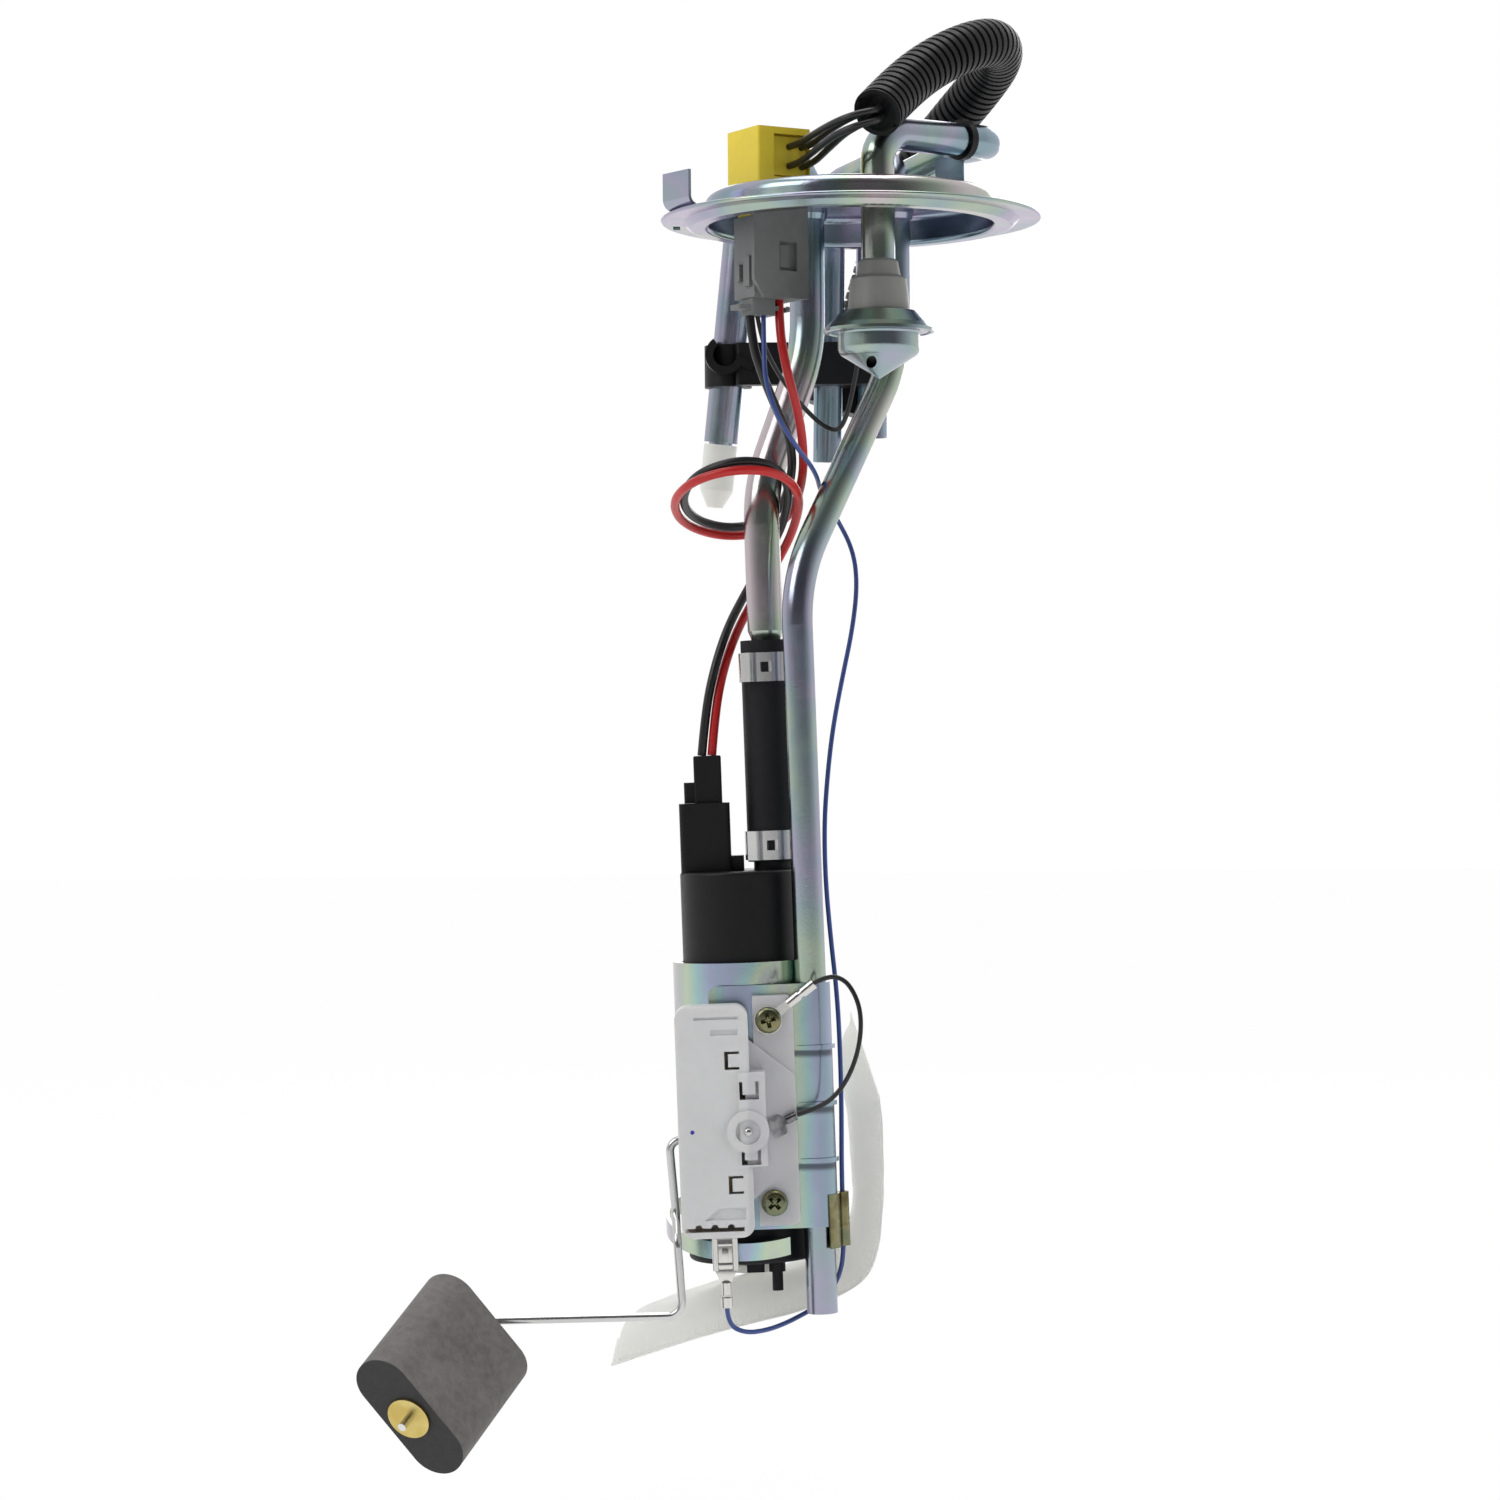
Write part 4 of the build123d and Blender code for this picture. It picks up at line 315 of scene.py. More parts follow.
def paint_rib_shadows(material, heights, colour):
    """Paints shadow into a narrow band below each height, in metres."""
    shade, ground = reopened(material)
    up = shade.part("Z")
    for height in heights:
        # The band below each rib is painted shadow.
        below = up.band(height - 0.0026, height - 0.0009) - up.band(height - 0.0002, height + 0.0006)
        ground = shade.mix(below * 0.85, ground, colour)
    shade.set(base_color=ground)


def thinned(material, left, right, colour):
    """Turns to a colour from left to right of an edge."""
    shade, ground = reopened(material)
    shade.set(base_color=shade.mix(shade.part("X").band(left, right), ground, colour))


def inked(material, centre, radius, colour):
    """Adds a dot with a slightly ragged edge."""
    shade, ground = reopened(material)
    ends = {0: shade.place, 1: centre}
    spread = shade.node("VectorMath", {"operation": "DISTANCE"}, ends, "Value")
    edge = spread + 0.0004 * shade.noise(900.0, 2.0)
    shade.set(base_color=shade.mix(1 - edge.band(radius, radius + 0.0003), ground, colour))


rib_feet = (-0.2606, -0.2784, -0.2961)
# Painted shadow: a dark band under each of the plate's three ribs.
paint_rib_shadows(plate_zinc, rib_feet, (0.07, 0.08, 0.10))
inked(sender_plastic, (-0.0521, -0.026, -0.2842), 0.0007, (0.03, 0.03, 0.35))
thinned(sender_plastic, -0.0358, -0.0340, (0.60, 0.60, 0.62))
print("marked", len(rib_feet), "ribs, an ear and a dot")


# %% [markdown]
# ## Float foam and filter cloth
# The float is cut from a block of closed-cell foam. Its sides have a brown-grey moulding skin with
# fine scuffs that run along it. Its near end face is painted nearly black as painted shade, told
# apart from the sides by how far a point lies along the float's own axis. The strainer is woven
# nylon: its weave and the row of weld dots along its seam are drawn in the flat coordinates that
# the cloth was cut in, which are kept in its UV map as tenths of a metre. The cloth is thin, so light
# from behind shows through it, and a translucent shader is blended over the main one for that.


# %% Foam and cloth
def along_axis(shade, origin, axis):
    """How far a point lies along an axis, in metres."""
    reach = shade.node("VectorMath", {"operation": "SUBTRACT"}, {0: shade.place, 1: origin})
    return shade.node("VectorMath", {"operation": "DOT_PRODUCT"}, {0: reach, 1: axis}, "Value")


float_far = (-0.1198, -0.021, -0.345)
float_axis = Vector((-0.367313, -0.823289, -0.432754))
foam = Shade("float_foam")
# Painted shade: the near end face gets nearly black tints, the sides their skin tints.
shaded_end_mask = along_axis(foam, float_far, float_axis).band(0.0464, 0.0468)
scuffs = foam.noise(60.0, 4.0, 0.6) * 0.5 + foam.noise(420.0, 3.0, 0.6) * 0.5
skin_tints = [(0.0, (0.100, 0.092, 0.088)), (1.0, (0.170, 0.160, 0.154))]
shaded_end_tints = [(0.0, (0.020, 0.020, 0.021)), (1.0, (0.034, 0.033, 0.033))]
skin = foam.ramp(scuffs.band(0.3, 0.7), skin_tints)
shaded_end = foam.ramp(scuffs.band(0.3, 0.7), shaded_end_tints)
foam.set(base_color=foam.mix(shaded_end_mask, skin, shaded_end), roughness=0.56 + 0.2 * scuffs)
foam.bump(foam.noise(1300.0, 4.0), 0.00022, 0.7)
float_foam = foam.material

weave_pitch, weld_pitch, cloth_width = 0.0009, 0.0026, 0.0555
cloth = Shade("filter_cloth")
flat = cloth.node("TexCoord", {}, {}, "UV")
flat_along, flat_across = cloth.part("X", flat) * 0.1, cloth.part("Y", flat) * 0.1


def waves(value, pitch):
    """A sine wave of a pitch in metres."""
    return (value * (2 * math.pi / pitch)).math("SINE")


threads = waves(flat_along, weave_pitch) * waves(flat_across, weave_pitch)
from_edge = flat_across.math("MINIMUM", cloth_width - flat_across)
checks = waves(flat_along, weld_pitch) * waves(from_edge - 0.0005, weld_pitch)
dots = checks.band(0.25, 0.6) * (1 - from_edge.band(0.0024, 0.0027))
soil = cloth.noise(22.0, 3.0).band(0.35, 0.65)
cloth_shade = cloth.mix(soil * 0.35, (0.80, 0.80, 0.775), (0.72, 0.72, 0.69))
cloth.set(base_color=cloth.mix(dots * 0.5, cloth_shade, (0.90, 0.90, 0.88)), roughness=0.62)
cloth.set(subsurface_weight=0.2, subsurface_radius=(0.004, 0.004, 0.0036), subsurface_scale=1.0)
cloth.bump(threads * 0.5 + dots * -1.0, 0.0002, 0.8)
cloth.blend(0.6, cloth.node("BsdfTranslucent", {}, {"Color": (0.92, 0.92, 0.90, 1.0)}))
filter_cloth = cloth.material
print("foam and cloth ready, weave", weave_pitch * 1000, "mm")

# %% [markdown]
# ## Dress the CAD nodes
# A rigid solid whose shape is right keeps its mesh and only takes a finish. Each row of the table is
# one finish and the nodes that wear it. Pieces hidden inside get theirs too, for a view with the
# housings taken off.

# %% Finishes of the CAD nodes
flange_group = "flange_plate index_tab vent_support supply_tube return_tube vent_tube"
black_inside = "valve_float magnets brushes"
finishes = [
    (zinc, flange_group + " valve_disc valve_hood"),
    (bright_zinc, "bracket_sleeve lower_strap"),
    (plate_zinc, "bracket_plate"),
    (steel, "hose_clamp_upper hose_clamp_lower pump_shell float_arm"),
    (solder, "ground_contact"),
    (chromate, "sender_screws wire_clip"),
    (brass, "float_washer"),
    (tinned, "connector_pins wiper ring_terminal sender_terminal"),
    (copper, "armature"),
    (yellow_plastic, "connector_body"),
    (grey_plastic, "tank_connector tank_lock"),
    (white_plastic, "check_valve inlet_cover body_plate strainer_neck sender_cover tube_cap"),
    (sender_plastic, "sender_body"),
    (valve_nylon, "valve_body"),
    (black_plastic, "pump_cap pump_plug tube_clip cable_tie harness_connector " + black_inside),
    (brown_plastic, "impeller resistor_card"),
    (rubber, "fuel_hose pump_cushion isolator"),
    (green_rubber, "harness_seal"),
    (float_foam, "float"),
    (filter_cloth, "strainer_bag"),
]
for material, names in finishes:
    for name in names.split():
        node = bpy.data.objects[name]
        node.data.materials.clear()
        node.data.materials.append(material)
print("finished", sum(len(names.split()) for _, names in finishes), "nodes")

# %% [markdown]
# ## Wires
# A free wire is a fixed length of copper in a soft jacket, so it bends evenly and never kinks. The
# simplest true model is one NURBS curve with a round bevel. Its control points are the same route
# that the CAD tubes follow, in millimetres. Order 3 keeps the line close to the tube.


# %% Wires as curves
def route_curve(name, points, radius):
    """A round NURBS tube on a route in millimetres."""
    curve = bpy.data.curves.new(name, "CURVE")
    curve.dimensions = "3D"
    spline = curve.splines.new("NURBS")
    spline.points.add(len(points) - 1)
    for knot, point in zip(spline.points, points):
        knot.co = (*(c * MM for c in point), 1.0)
    # The order is set once the points are there, or the spline stays straight between them
    spline.order_u = 3
    spline.use_endpoint_u = True
    spline.resolution_u = 10
    curve.bevel_depth = radius * MM
    curve.bevel_resolution = 4
    curve.use_fill_caps = True
    piece = bpy.data.objects.new(name, curve)
    bpy.context.scene.collection.objects.link(piece)
    return piece


def line_of(points, steps=10):
    """Points along the route's own spline, for pieces that follow it."""
    guide = route_curve("guide", points, 0)
    guide.data.splines[0].resolution_u = steps
    seen = bpy.context.evaluated_depsgraph_get()
    mesh = bpy.data.meshes.new_from_object(guide.evaluated_get(seen))
    line = [vertex.co.copy() for vertex in mesh.vertices]
    bpy.data.meshes.remove(mesh)
    bpy.data.objects.remove(guide)
    return line


def run_length(line):
    return sum((b - a).length for a, b in zip(line, line[1:]))


def wire(name, node, material, points, radius):
    """One free wire, which goes back into the object at its far end."""
    piece = route_curve(name, points, radius)
    piece.data.materials.append(material)
    length = run_length(line_of(points))
    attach(piece, "module")
    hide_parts(node)
    print(name, "is", round(length / MM), "mm long")


# %% [markdown]
# ## The pump's own two leads
# Red and black leave the tank connector, make one loose loop behind the tubes and drop into the
# latched plug on top of the pump. The slack lets the pump be lifted out before it is unplugged.

# %% Pump leads
red_route = [
    (-23.0, -5.5, -25.2), (-22.9, -8.6, -35.0), (-21.0, -9.0, -46.5), (-18.0, -6.6, -57.4),
    (-15.8, 0.6, -67.8), (-15.4, 11.0, -79.5), (-19.4, 26.0, -91.5), (-29.5, 34.6, -96.2),
    (-42.2, 35.2, -97.0), (-54.2, 24.6, -93.6), (-57.6, 7.5, -87.6), (-51.2, -8.6, -82.0),
    (-37.6, -13.6, -78.6), (-23.6, -8.6, -79.2), (-16.4, 4.4, -85.0), (-18.2, 20.6, -94.8),
    (-23.8, 31.0, -105.4), (-31.6, 28.4, -117.4), (-38.0, 21.0, -129.6), (-42.2, 16.4, -142.6),
    (-44.4, 14.4, -155.0), (-45.5, 14.0, -167.9),
]
black_route = [
    (-32.2, -8.8, -30.4), (-31.4, -9.4, -39.0), (-28.6, -9.6, -48.5), (-24.3, -6.5, -58.8),
    (-19.8, 0.0, -68.0), (-18.8, 9.5, -77.5), (-22.0, 22.5, -88.5), (-30.5, 31.0, -93.5),
    (-41.5, 31.5, -94.5), (-51.5, 22.5, -91.5), (-54.6, 7.5, -86.0), (-49.5, -6.0, -79.5),
    (-37.2, -11.0, -75.6), (-25.5, -6.5, -76.4), (-19.8, 5.0, -82.5), (-21.4, 20.0, -92.4),
    (-26.8, 28.5, -103.0), (-33.8, 25.5, -114.8), (-40.2, 18.5, -127.0), (-44.6, 14.6, -140.5),
    (-47.4, 13.8, -154.0), (-48.7, 14.0, -168.0),
]
pump_wire_radius = 1.45
red, black, blue = insulation_red, insulation_black, insulation_blue
wire("lead_red", "wire_red", red, red_route, pump_wire_radius)
wire("lead_black", "wire_black", black, black_route, pump_wire_radius)

# %% [markdown]
# ## Signal and ground wires
# A thin blue wire runs from the connector behind the return tube, down its right side, through a
# spring clip and up into the sender's terminal. A short black jumper joins the sender's upper screw
# to the contact by the hub, and a thin black one grounds the flange.

# %% Thin wires
thin_wire_radius = 0.75
blue_route = [
    (-27.9, -9.8, -30.4), (-27.9, -13.0, -40.0), (-27.6, -15.0, -51.0), (-24.2, -15.0, -62.0),
    (-18.2, -11.5, -71.5), (-11.6, 4.0, -78.5), (-9.8, 19.5, -84.5), (-4.4, 28.5, -92.0),
    (0.6, 29.0, -102.0), (1.8, 26.0, -113.0), (0.0, 21.0, -127.5), (-3.6, 16.0, -143.5),
    (-6.8, 11.0, -159.0), (-8.8, 7.0, -174.5), (-10.0, 5.0, -190.0), (-9.8, 4.0, -207.0),
    (-8.4, 3.4, -225.0), (-6.4, 3.0, -244.0), (-5.6, 2.0, -263.0), (-5.4, 0.8, -281.0),
    (-5.6, 0.0, -299.2), (-4.9, 0.0, -325.2), (-6.8, 2.0, -333.6), (-11.4, 2.9, -341.0),
    (-17.6, 2.6, -344.6), (-24.0, -4.0, -346.8), (-30.0, -12.0, -347.6), (-36.4, -18.0, -347.4),
    (-41.6, -20.4, -344.4), (-41.9, -23.2, -338.7),
]
ground_route = [
    (-14.2, -17.3, -239.0), (-9.6, -17.5, -236.6), (-4.8, -18.6, -237.6), (-1.6, -19.6, -241.8),
    (0.4, -20.0, -248.0), (0.2, -20.2, -256.4), (-2.2, -20.0, -265.2), (-6.4, -19.4, -272.6),
    (-12.2, -18.8, -277.4), (-19.6, -18.2, -279.7),
]
case_ground_route = [
    (-29.8, -7.0, -30.4), (-28.4, -5.6, -38.0), (-25.0, -1.0, -45.0), (-20.4, 5.0, -51.6),
    (-14.6, 9.5, -58.4), (-9.0, 10.5, -63.6), (-4.2, 9.0, -65.4), (-1.4, 7.0, -60.0),
    (0.8, 6.0, -50.0), (2.8, 5.0, -39.0), (4.4, 5.0, -27.0), (5.2, 6.0, -15.0),
    (5.4, 7.0, -4.0), (5.4, 7.4, 7.3),
]
wire("lead_blue", "wire_blue", blue, blue_route, thin_wire_radius)
wire("lead_ground", "wire_ground", black, ground_route, thin_wire_radius)
wire("lead_case_ground", "wire_case_ground", black, case_ground_route, thin_wire_radius)

# %% [markdown]
# ## Harness wires
# Four black wires leave the yellow connector's side, swing round in front of the conduit's mouth and
# go into it side by side, two over two. They run on a little way inside, so that the mouth never
# shows a cut end.

# %% Harness wires
harness_wire_radius = 1.1
harness_routes = {
    "near_low": [
        (-19.5, -12.7, 15.8), (-16.4, -17.9, 15.8), (-11.3, -27.5, 18.6), (-5.3, -37.8, 21.6),
        (0.9, -41.1, 23.6), (6.3, -38.9, 25.4), (8.9, -34.5, 27.0), (14.0, -25.9, 34.0),
    ],
    "near_high": [
        (-19.5, -12.7, 21.8), (-16.4, -17.9, 21.8), (-11.9, -26.4, 23.6), (-5.6, -37.4, 25.4),
        (0.3, -41.0, 27.0), (5.7, -39.4, 28.4), (8.0, -35.9, 29.5), (13.1, -27.3, 36.5),
    ],
    "far_low": [
        (-15.6, -10.4, 15.8), (-12.5, -15.5, 15.8), (-7.7, -25.6, 18.9), (-2.8, -35.8, 22.0),
        (1.3, -38.2, 24.0), (4.3, -36.6, 25.5), (6.3, -33.0, 27.0), (11.4, -24.4, 34.0),
    ],
    "far_high": [
        (-15.6, -10.4, 21.8), (-12.5, -15.5, 21.8), (-8.3, -24.5, 24.0), (-3.1, -35.4, 25.8),
        (0.7, -38.1, 27.2), (3.8, -37.1, 28.4), (5.4, -34.4, 29.5), (10.5, -25.8, 36.5),
    ],
}
for place, points in harness_routes.items():
    wire("harness_" + place, "harness_wires", black, points, harness_wire_radius)

# %% [markdown]
# ## Corrugated conduit
# The harness runs in a split corrugated tube. Its ribs are what the eye reads, so they are modelled:
# circles are stood on the route's own spline, alternating between two radii, and bridged one after
# another. The first circles run back inside, so the mouth is a real dark hollow. The spline is read at
# fine steps, and the number of ribs follows from its length and a pitch of about three millimetres.

# %% Conduit
loom_route = [
    (7.4, -34.0, 28.6), (14.4, -22.0, 37.6), (24.6, -10.0, 47.4), (37.0, 2.0, 55.4),
    (47.2, 16.0, 59.6), (49.8, 32.0, 57.2), (44.6, 48.0, 51.0), (35.6, 63.0, 42.0),
    (25.6, 76.0, 31.0), (17.8, 85.0, 17.0), (12.6, 88.6, 1.0), (8.0, 88.6, -15.0),
    (1.0, 88.0, -36.0),
]
loom_radius = 7.75
loom_wall = 1.5
mouth_depths = (26.0, 12.0, 3.0, 0.0)
rib_pitch = 3.1
# One rib: how far along its pitch each circle stands, and how far its radius drops
rib_shape = [(0.0, 0.0), (0.12, 0.0), (0.2, -0.95), (0.45, -0.95), (0.53, 0.0), (0.92, 0.0)]


def along(line, distance):
    """Point and heading at a distance along a line."""
    for a, b in zip(line, line[1:]):
        step = (b - a).length
        if distance <= step:
            return a + (b - a) * (distance / step), (b - a).normalized()
        distance -= step
    return line[-1], (line[-1] - line[-2]).normalized()


def ring_edges(work, ring):
    return [work.edges.get((a, b)) for a, b in zip(ring, ring[1:] + ring[:1])]


def loft(work, rings):
    """Bridges circles one after another into a tube and closes its two ends."""
    for first, second in zip(rings, rings[1:]):
        edges = ring_edges(work, first) + ring_edges(work, second)
        bmesh.ops.bridge_loops(work, edges=edges)
    for ring in (rings[0], rings[-1]):
        work.faces.new(ring)
    bmesh.ops.recalc_face_normals(work, faces=work.faces)


def ring_at(work, centre, heading, radius):
    """A circle square to a heading, always started from the same side, so that no tube twists."""
    side = Vector((0, 1, 0.2))
    across = (side - heading * side.dot(heading)).normalized()
    turn = Matrix((across, heading.cross(across), heading)).transposed().to_4x4()
    place = Matrix.Translation(centre) @ turn
    return bmesh.ops.create_circle(work, segments=32, radius=radius * MM, matrix=place)["verts"]


def finish_mesh(name, work, material, body, smooth):
    """Turns a bmesh into a piece that rides on a body. Edges sharper than smooth stay crisp."""
    mesh = bpy.data.meshes.new(name)
    work.to_mesh(mesh)
    work.free()
    mesh.materials.append(material)
    piece = bpy.data.objects.new(name, mesh)
    bpy.context.scene.collection.objects.link(piece)
    mesh.shade_smooth()
    mesh.set_sharp_from_angle(angle=math.radians(smooth))
    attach(piece, body)
    return piece


loom_line = line_of(loom_route, 24)
loom_length = run_length(loom_line)
ribs = round(loom_length / MM / rib_pitch)
work = bmesh.new()
rings = []
for depth in mouth_depths:
    rings.append(ring_at(work, *along(loom_line, depth * MM), loom_radius - loom_wall))
for rib in range(ribs):
    for share, drop in rib_shape:
        place = along(loom_line, (rib + share) * loom_length / ribs)
        rings.append(ring_at(work, *place, loom_radius + drop))
rings.append(ring_at(work, *along(loom_line, loom_length), loom_radius))
loft(work, rings)
loom = finish_mesh("conduit", work, black_plastic, "module", 40.0)
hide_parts("loom")
print("conduit", round(loom_length / MM), "mm,", ribs, "ribs")

# %% [markdown]
# ## The sender's screws
# Two cross-recessed pan heads hold the sender to the bracket, and the close view rests on them. The
# CAD heads are plain discs. Here a circle is carried up in rings that draw in, which gives the pan. A
# cross of twelve vertices is set in its top, the face between the two outlines is filled, and the
# cross is carried down in two steps that narrow, as the punch leaves it. A boolean would cut the same
# hole, but leaves untidy faces round it. The bracket and all that it carries hang a little off
# upright, so these small pieces share one placing, in millimetres across, back and up.

# %% Screws
hang_place = Vector((-36.0, 14.0, -240.0))
hang_tilt = math.radians(-1.6)
hang = Matrix.Translation(hang_place * MM) @ Matrix.Rotation(hang_tilt, 4, "Y")
head_radius, head_height = 4.1, 2.5
crown_steps = [(1.0, 1.2), (0.94, 0.6), (0.857, 0.45), (0.833, 0.15)]
recess_steps = [(0.82, -1.1), (0.5, -0.9)]
recess_reach, recess_half, recess_top = 2.35, 0.62, 2.45
shank_radius, shank_end_radius = 2.0, 1.5


def drawn(work, edges, steps):
    """Carries an open edge on, ring after ring. A step is a scale and a move along the axis."""
    for scale, rise in steps:
        grown = bmesh.ops.extrude_edge_only(work, edges=edges)["geom"]
        ring = [item for item in grown if isinstance(item, bmesh.types.BMVert)]
        bmesh.ops.scale(work, vec=(scale, scale, 1.0), verts=ring)
        bmesh.ops.translate(work, vec=(0.0, 0.0, rise), verts=ring)
        near = {edge for vertex in ring for edge in vertex.link_edges}
        edges = [edge for edge in near if set(edge.verts) <= set(ring)]
    return ring, edges


def cross_outline(work, turn):
    """Three corners for each arm of the cross, joined into one outline."""
    arm = [(recess_half, -recess_half), (recess_reach, -recess_half), (recess_reach, recess_half)]
    corners = []
    for quarter in range(4):
        swing = Matrix.Rotation(math.radians(90 * quarter + turn), 3, "Z")
        corners += [work.verts.new(swing @ Vector((x, y, recess_top))) for x, y in arm]
    return [work.edges.new((corners[i - 1], corners[i])) for i in range(len(corners))]


def cross_head(work, across, up, front, turn):
    """A screw, made about the origin and then set down on the ear."""
    done = set(work.verts)
    base = bmesh.ops.create_circle(work, cap_ends=True, segments=36, radius=head_radius)["verts"]
    rim = list({edge for vertex in base for edge in vertex.link_edges})
    _, crown = drawn(work, rim, crown_steps)
    mouth = cross_outline(work, turn)
    bmesh.ops.triangle_fill(work, edges=crown + mouth, use_beauty=True, use_dissolve=False)
    floor_ring, _ = drawn(work, mouth, recess_steps)
    bmesh.ops.contextual_create(work, geom=floor_ring)
    shank = screw_tip - front - head_height
    bmesh.ops.create_cone(
        work,
        cap_ends=True,
        segments=24,
        radius1=shank_end_radius,
        radius2=shank_radius,
        depth=shank,
        matrix=Matrix.Translation((0.0, 0.0, -shank / 2)),
    )
    seat = Matrix.Scale(MM, 4) @ Matrix.Translation((across, front + head_height, up))
    place = hang @ seat @ Matrix.Rotation(math.pi / 2, 4, "X")
    bmesh.ops.transform(work, matrix=place, verts=[v for v in work.verts if v not in done])


screw_front, screw_tip = (corner[1] / MM - hang_place.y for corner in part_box("sender_screws"))
ring_terminal_lift = 0.4
work = bmesh.new()
cross_head(work, 7.3, -10.6, screw_front, 12.0)
cross_head(work, 7.3, -67.5, screw_front + ring_terminal_lift, 40.0)
bmesh.ops.recalc_face_normals(work, faces=work.faces)
screws = finish_mesh("cross_screws", work, chromate, "module", 32.0)
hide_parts("sender_screws")
print("screws reach from", round(screw_front, 2), "to", round(screw_tip, 2), "mm")

# %% [markdown]
# ## The sender's terminal
# The blue wire ends in a blade receptacle, folded from thin tinned sheet: a back plate, two edges
# rolled over to grip the blade, a spring tongue between two cross bars, a neck that tapers, and two
# barrels crimped round the conductor and the jacket. Bevelled bars and round barrels that run into
# one another show all of that at this size, where folding real sheet would not read any better.

# %% Terminal


def block(work, centre, size, bevel=0.2, narrow=1.0):
    """A bevelled bar. Its lower end may be narrower than its upper one."""
    stretch = Matrix.Diagonal((*size, 1.0))
    shape = hang @ Matrix.Scale(MM, 4) @ Matrix.Translation(centre) @ stretch
    made = bmesh.ops.create_cube(work, size=1.0)["verts"]
    low = [vertex for vertex in made if vertex.co.z < 0]
    bmesh.ops.scale(work, vec=(narrow, 1.0, 1.0), verts=low)
    bmesh.ops.transform(work, matrix=shape, verts=made)
    edges = list({edge for vertex in made for edge in vertex.link_edges})
    bmesh.ops.bevel(
        work, geom=edges, offset=bevel * MM, segments=2, profile=0.5, affect="EDGES", material=-1
    )


def barrel(work, across, back, top, bottom, radius):
    """An upright round bar."""
    place = hang @ Matrix.Translation(Vector((across, back, (top + bottom) / 2)) * MM)
    bmesh.ops.create_cone(
        work,
        cap_ends=True,
        segments=28,
        radius1=radius * MM,
        radius2=radius * MM,
        depth=(top - bottom) * MM,
        matrix=place,
    )


blade_u, blade_v = -8.6, -36.0
terminal_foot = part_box("sender_terminal")[0][2] / MM - hang_place.z + 0.3
work = bmesh.new()
block(work, (blade_u, blade_v - 0.45, -82.0), (7.4, 0.7, 9.8))
for side in (-1, 1):
    barrel(work, blade_u + side * 3.05, blade_v - 1.1, -77.1, -87.0, 0.95)
block(work, (blade_u, blade_v - 0.95, -79.0), (4.4, 0.6, 1.0), 0.15)
block(work, (blade_u, blade_v - 0.95, -85.6), (4.4, 0.6, 1.6), 0.15)
block(work, (blade_u, blade_v - 1.0, -82.4), (2.0, 0.6, 4.4), 0.15)
block(work, (blade_u, blade_v - 0.6, -89.0), (7.0, 0.9, 4.4), 0.2, 0.42)
barrel(work, blade_u, blade_v - 1.2, -90.8, -94.6, 1.45)
barrel(work, blade_u, blade_v - 1.2, -95.4, terminal_foot, 1.8)
block(work, (blade_u, blade_v - 1.2, -95.0), (1.8, 1.2, 1.4), 0.2)
bmesh.ops.recalc_face_normals(work, faces=work.faces)
terminal = finish_mesh("blade_terminal", work, tinned, "module", 34.0)
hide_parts("sender_terminal")
print("terminal ends", round(-terminal_foot, 1), "mm below the bracket's origin")

# %% [markdown]
# ## Tip of the float arm
# The arm's wire comes through the hub and is rounded off, which shows as one bright point in the
# middle of the hub. A slightly flattened ball on the arm's own axis does for it. It rides on the arm.

# %% Arm tip
pivot_across, pivot_up = -0.1, -44.0
tip_radius, tip_lead = 1.35, 0.9
hub_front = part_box("sender_body")[0][1] / MM - hang_place.y
work = bmesh.new()
tip_centre = Vector((pivot_across, hub_front - tip_lead, pivot_up)) * MM
tip_place = hang @ Matrix.Translation(tip_centre)
bmesh.ops.create_uvsphere(
    work, u_segments=24, v_segments=12, radius=tip_radius * MM, matrix=tip_place
)
bmesh.ops.scale(work, vec=(1.0, 0.8, 1.0), space=tip_place.inverted(), verts=work.verts)
finish_mesh("arm_tip", work, steel, "float_arm", 60.0)
print("the arm's tip stands", round(tip_lead + 0.8 * tip_radius, 1), "mm proud of the hub")

# %% [markdown]
# ## Strainer pouch
# The strainer is two layers of woven nylon, welded round the edge into a flat seam and held apart by
# a frame inside. It starts as a flat grid, which is then laid along the seam's path: each layer
# leaves the seam and swells, the outer a little and the inner a lot, up to where the inlet's neck
# clips on. The path lies under the pump and turns up beside it. The far end is cut slanted, and its
# rear corner leans in towards the pump. Low noise gives the slack folds. It is shaped by moving
# vertices, as its frame holds it, so there is nothing left for a cloth simulation to settle.

# %% Pouch
pouch_path = [
    (-79.0, -361.0), (-65.5, -356.6), (-49.0, -351.4), (-33.0, -347.4), (-17.5, -343.7),
    (-5.1, -338.9), (1.9, -334.0), (5.4, -326.0), (7.0, -312.0), (7.3, -298.0), (7.2, -285.0),
    (6.5, -276.0), (5.6, -250.0),
]
pouch_front, pouch_back = 4.6, 59.9
pouch_width = pouch_back - pouch_front
pouch_slant, pouch_spare = 23.0, 26.0
seam_width, seam_half = 2.2, 0.3
fullness = 10.2
neck_across, neck_depth, neck_reach, neck_lift = -33.4, 22.0, 9.0, 2.7
lean_from, lean_span, lean = -312.0, 55.0, 6.5
pouch_line = line_of([(x, 0.0, z) for x, z in pouch_path], 24)
pouch_length = run_length(pouch_line) / MM - pouch_spare


def clamped(value):
    return max(0.0, min(1.0, value))


def swell(distance, reach, power):
    """0 at an edge, rising in a round shoulder to 1 at the reach."""
    return (1.0 - (1.0 - clamped(distance / reach)) ** power) ** (1.0 / power)


def slack(run, depth):
    """Two sizes of fold."""
    wide = noise.noise(Vector((run / 17.0, depth / 24.0, 3.0)))
    narrow = noise.noise(Vector((run / 7.0, depth / 13.0, 8.0)))
    return wide + 0.5 * narrow


def neck_at(centre, depth):
    """1 where the inlet's neck clips on, falling away round it."""
    off_across = (centre.x - neck_across) / neck_reach
    off_depth = (depth + pouch_front - neck_depth) / neck_reach
    return math.exp(-(off_across**2 + off_depth**2))


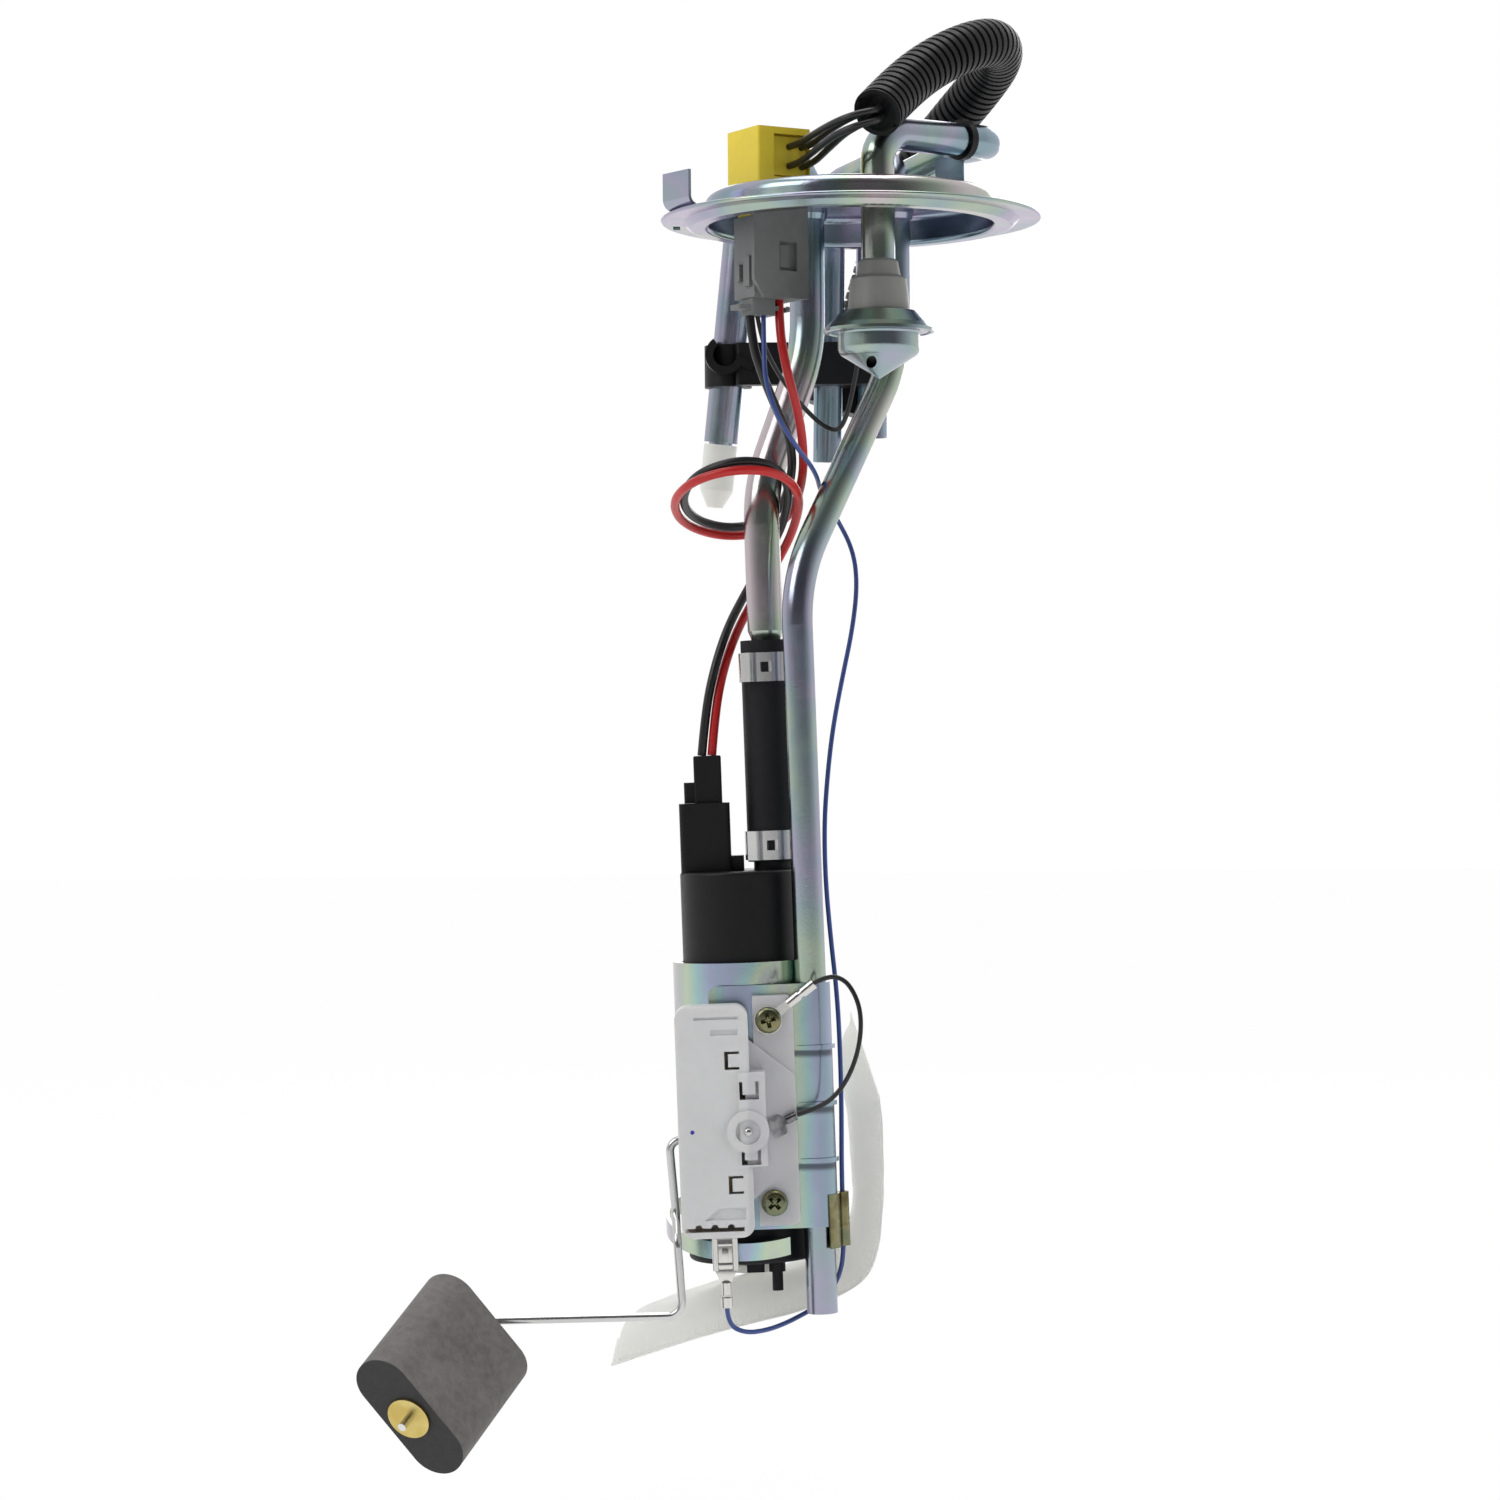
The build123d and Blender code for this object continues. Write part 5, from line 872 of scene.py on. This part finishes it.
def pouch_point(share_along, share_across, outer):
    """A point of a layer, and how far along and across the flat cloth it lies."""
    length = pouch_length + pouch_slant * share_across**1.5
    run = share_along * length
    centre, heading = along(pouch_line, run * MM)
    centre, normal = centre / MM, Vector((-heading.z, 0.0, heading.x))
    depth = share_across * pouch_width
    side = min(depth, pouch_width - depth)
    end = min(run, length - run)
    body = swell(side - seam_width, 17.0, 2.4) * swell(run - seam_width, 22.0, 2.2)
    body *= swell(length - run - seam_width, 9.0, 2.2)
    wave = slack(run, depth)
    half = seam_half * swell(min(side, end), 0.4, 2.0)
    if outer:
        rise = -half - body * (0.9 + 0.5 * wave)
    else:
        neck = neck_at(centre, depth)
        upright = clamped((centre.z + 336.0) / 20.0)
        swollen = fullness + 0.7 * wave * (1.0 - neck) + neck_lift * neck - 2.6 * upright
        rise = half + body * swollen
    point = centre + normal * rise
    point.x -= lean * clamped((centre.z - lean_from) / lean_span) * share_across**1.2
    ripple = 0.35 * noise.noise(Vector((run / 9.0, 0.0, 1.0))) * (1.0 - clamped(side / 6.0))
    point.y = depth + pouch_front + (ripple if depth < 20 else -ripple)
    return point * MM, run, depth


def pouch_layer(work, outer):
    """A flat grid, laid on the path. Its UV map keeps where each point was on the flat cloth."""
    made = bmesh.ops.create_grid(work, x_segments=200, y_segments=56, size=0.5)["verts"]
    cut_in = work.loops.layers.uv["UVMap"]
    laid = {v: pouch_point(v.co.x + 0.5, v.co.y + 0.5, outer) for v in made}
    for face in {face for vertex in made for face in vertex.link_faces}:
        for corner in face.loops:
            _, run, depth = laid[corner.vert]
            corner[cut_in].uv = (run * MM * 10.0, depth * MM * 10.0)
    for vertex, (place, _, _) in laid.items():
        vertex.co = place


work = bmesh.new()
work.loops.layers.uv.new("UVMap")
pouch_layer(work, True)
pouch_layer(work, False)
bmesh.ops.remove_doubles(work, verts=work.verts, dist=0.00002)
bmesh.ops.recalc_face_normals(work, faces=work.faces)
pouch = finish_mesh("strainer_pouch", work, filter_cloth, "module", 60.0)
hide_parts("strainer_bag")
print("pouch", round(pouch_length + pouch_slant / 2), "mm along its seam")

# %% [markdown]
# ## Floor
# The photograph is a product shot on white. One pale sheet does for the floor. It shows plain white
# to the camera and to reflections, and what is left of its own shading keeps the part's shadow. A
# brighter floor would do that too, but would light the part from below.

# %% Floor
floor_drop, floor_size, whiteness = 0.02, 6.0, 0.975
floor_height = cad_box[0][2] - floor_drop
work = bmesh.new()
bmesh.ops.create_grid(work, x_segments=2, y_segments=2, size=floor_size)
bmesh.ops.translate(work, verts=work.verts, vec=(0, 0, floor_height))
floor_mesh = bpy.data.meshes.new("floor")
work.to_mesh(floor_mesh)
work.free()
floor = bpy.data.objects.new("floor", floor_mesh)
bpy.context.scene.collection.objects.link(floor)
pale = Shade("pale_floor")
pale.set(base_color=(0.86, 0.86, 0.86, 1.0), roughness=0.8)
seen_rays = pale.node("LightPath", {}, {}, "Is Camera Ray")
mirrored_rays = pale.node("LightPath", {}, {}, "Is Glossy Ray")
white = pale.node("Emission", {}, {"Color": (1, 1, 1, 1), "Strength": 1.0})
pale.blend((seen_rays + mirrored_rays) * whiteness, white)
floor_mesh.materials.append(pale.material)
print("floor at", round(floor_height / MM, 1), "mm")

# %% [markdown]
# ## Backdrop
# The world stands behind the floor, white to the camera. For light and reflections it is a room that
# is bright behind the part and dim behind the camera. That is how such metal is photographed: it
# gives the plated tubes their dark middles and pale rims.

# %% World
room_strength = 0.85
dim, bright = (0.12, (0.10, 0.10, 0.11, 1)), (0.62, (1, 1, 1, 1))
world = bpy.data.worlds.new("studio")
world.use_nodes = True
bpy.context.scene.world = world
links, nodes = world.node_tree.links, world.node_tree.nodes
paths = nodes.new("ShaderNodeLightPath")
way = nodes.new("ShaderNodeTexCoord")
split = nodes.new("ShaderNodeSeparateXYZ")
links.new(way.outputs["Generated"], split.inputs[0])
depth_of_room = nodes.new("ShaderNodeMapRange")
depth_of_room.inputs["From Min"].default_value = -1.0
links.new(split.outputs["Y"], depth_of_room.inputs["Value"])
room = nodes.new("ShaderNodeValToRGB")
for element, (position, colour) in zip(room.color_ramp.elements, (dim, bright)):
    element.position, element.color = position, colour
links.new(depth_of_room.outputs[0], room.inputs["Fac"])
soft = nodes["Background"]
soft.inputs["Strength"].default_value = room_strength
links.new(room.outputs[0], soft.inputs["Color"])
plain = nodes.new("ShaderNodeBackground")
plain.inputs["Color"].default_value = (1, 1, 1, 1)
plain.inputs["Strength"].default_value = 1.0
either = nodes.new("ShaderNodeMath")
either.operation = "MAXIMUM"
links.new(paths.outputs["Is Camera Ray"], either.inputs[0])
links.new(paths.outputs["Is Transmission Ray"], either.inputs[1])
both = nodes.new("ShaderNodeMixShader")
for socket, source in zip(both.inputs, (either, soft, plain)):
    links.new(source.outputs[0], socket)
links.new(both.outputs[0], nodes["World Output"].inputs["Surface"])
print("world nodes:", len(nodes))

# %% [markdown]
# ## Lamps
# Four large soft lamps light the part at a plain level, at which a colour shows about as it is
# written. The one at the front right only fills: it isn't mirrored, because a bright patch there
# would wash out the middles of the tubes.


# %% Lamps
def lamp(name, place, size, power, mirrored=True):
    """A soft rectangle that faces the middle of the part."""
    light = bpy.data.lights.new(name, "AREA")
    light.shape = "RECTANGLE"
    light.size, light.size_y = size
    light.energy = power
    piece = bpy.data.objects.new(name, light)
    aim = (Vector(place) - lit_point).to_track_quat("Z", "Y").to_matrix().to_4x4()
    piece.matrix_world = Matrix.Translation(place) @ aim
    piece.visible_glossy = mirrored
    bpy.context.scene.collection.objects.link(piece)


lit_point = Vector((-0.02, 0.0, -0.17))
lamp("key", (-1.1, -0.7, 0.7), (0.9, 0.9), 7.5)
lamp("fill", (1.2, -0.6, 0.2), (0.8, 1.3), 4.5, mirrored=False)
lamp("top", (0.0, 0.0, 1.2), (1.2, 1.0), 9.0)
lamp("back", (0.3, 1.3, 0.4), (1.2, 0.9), 7.0)
print("lamps:", len(bpy.data.lights))

# %% [markdown]
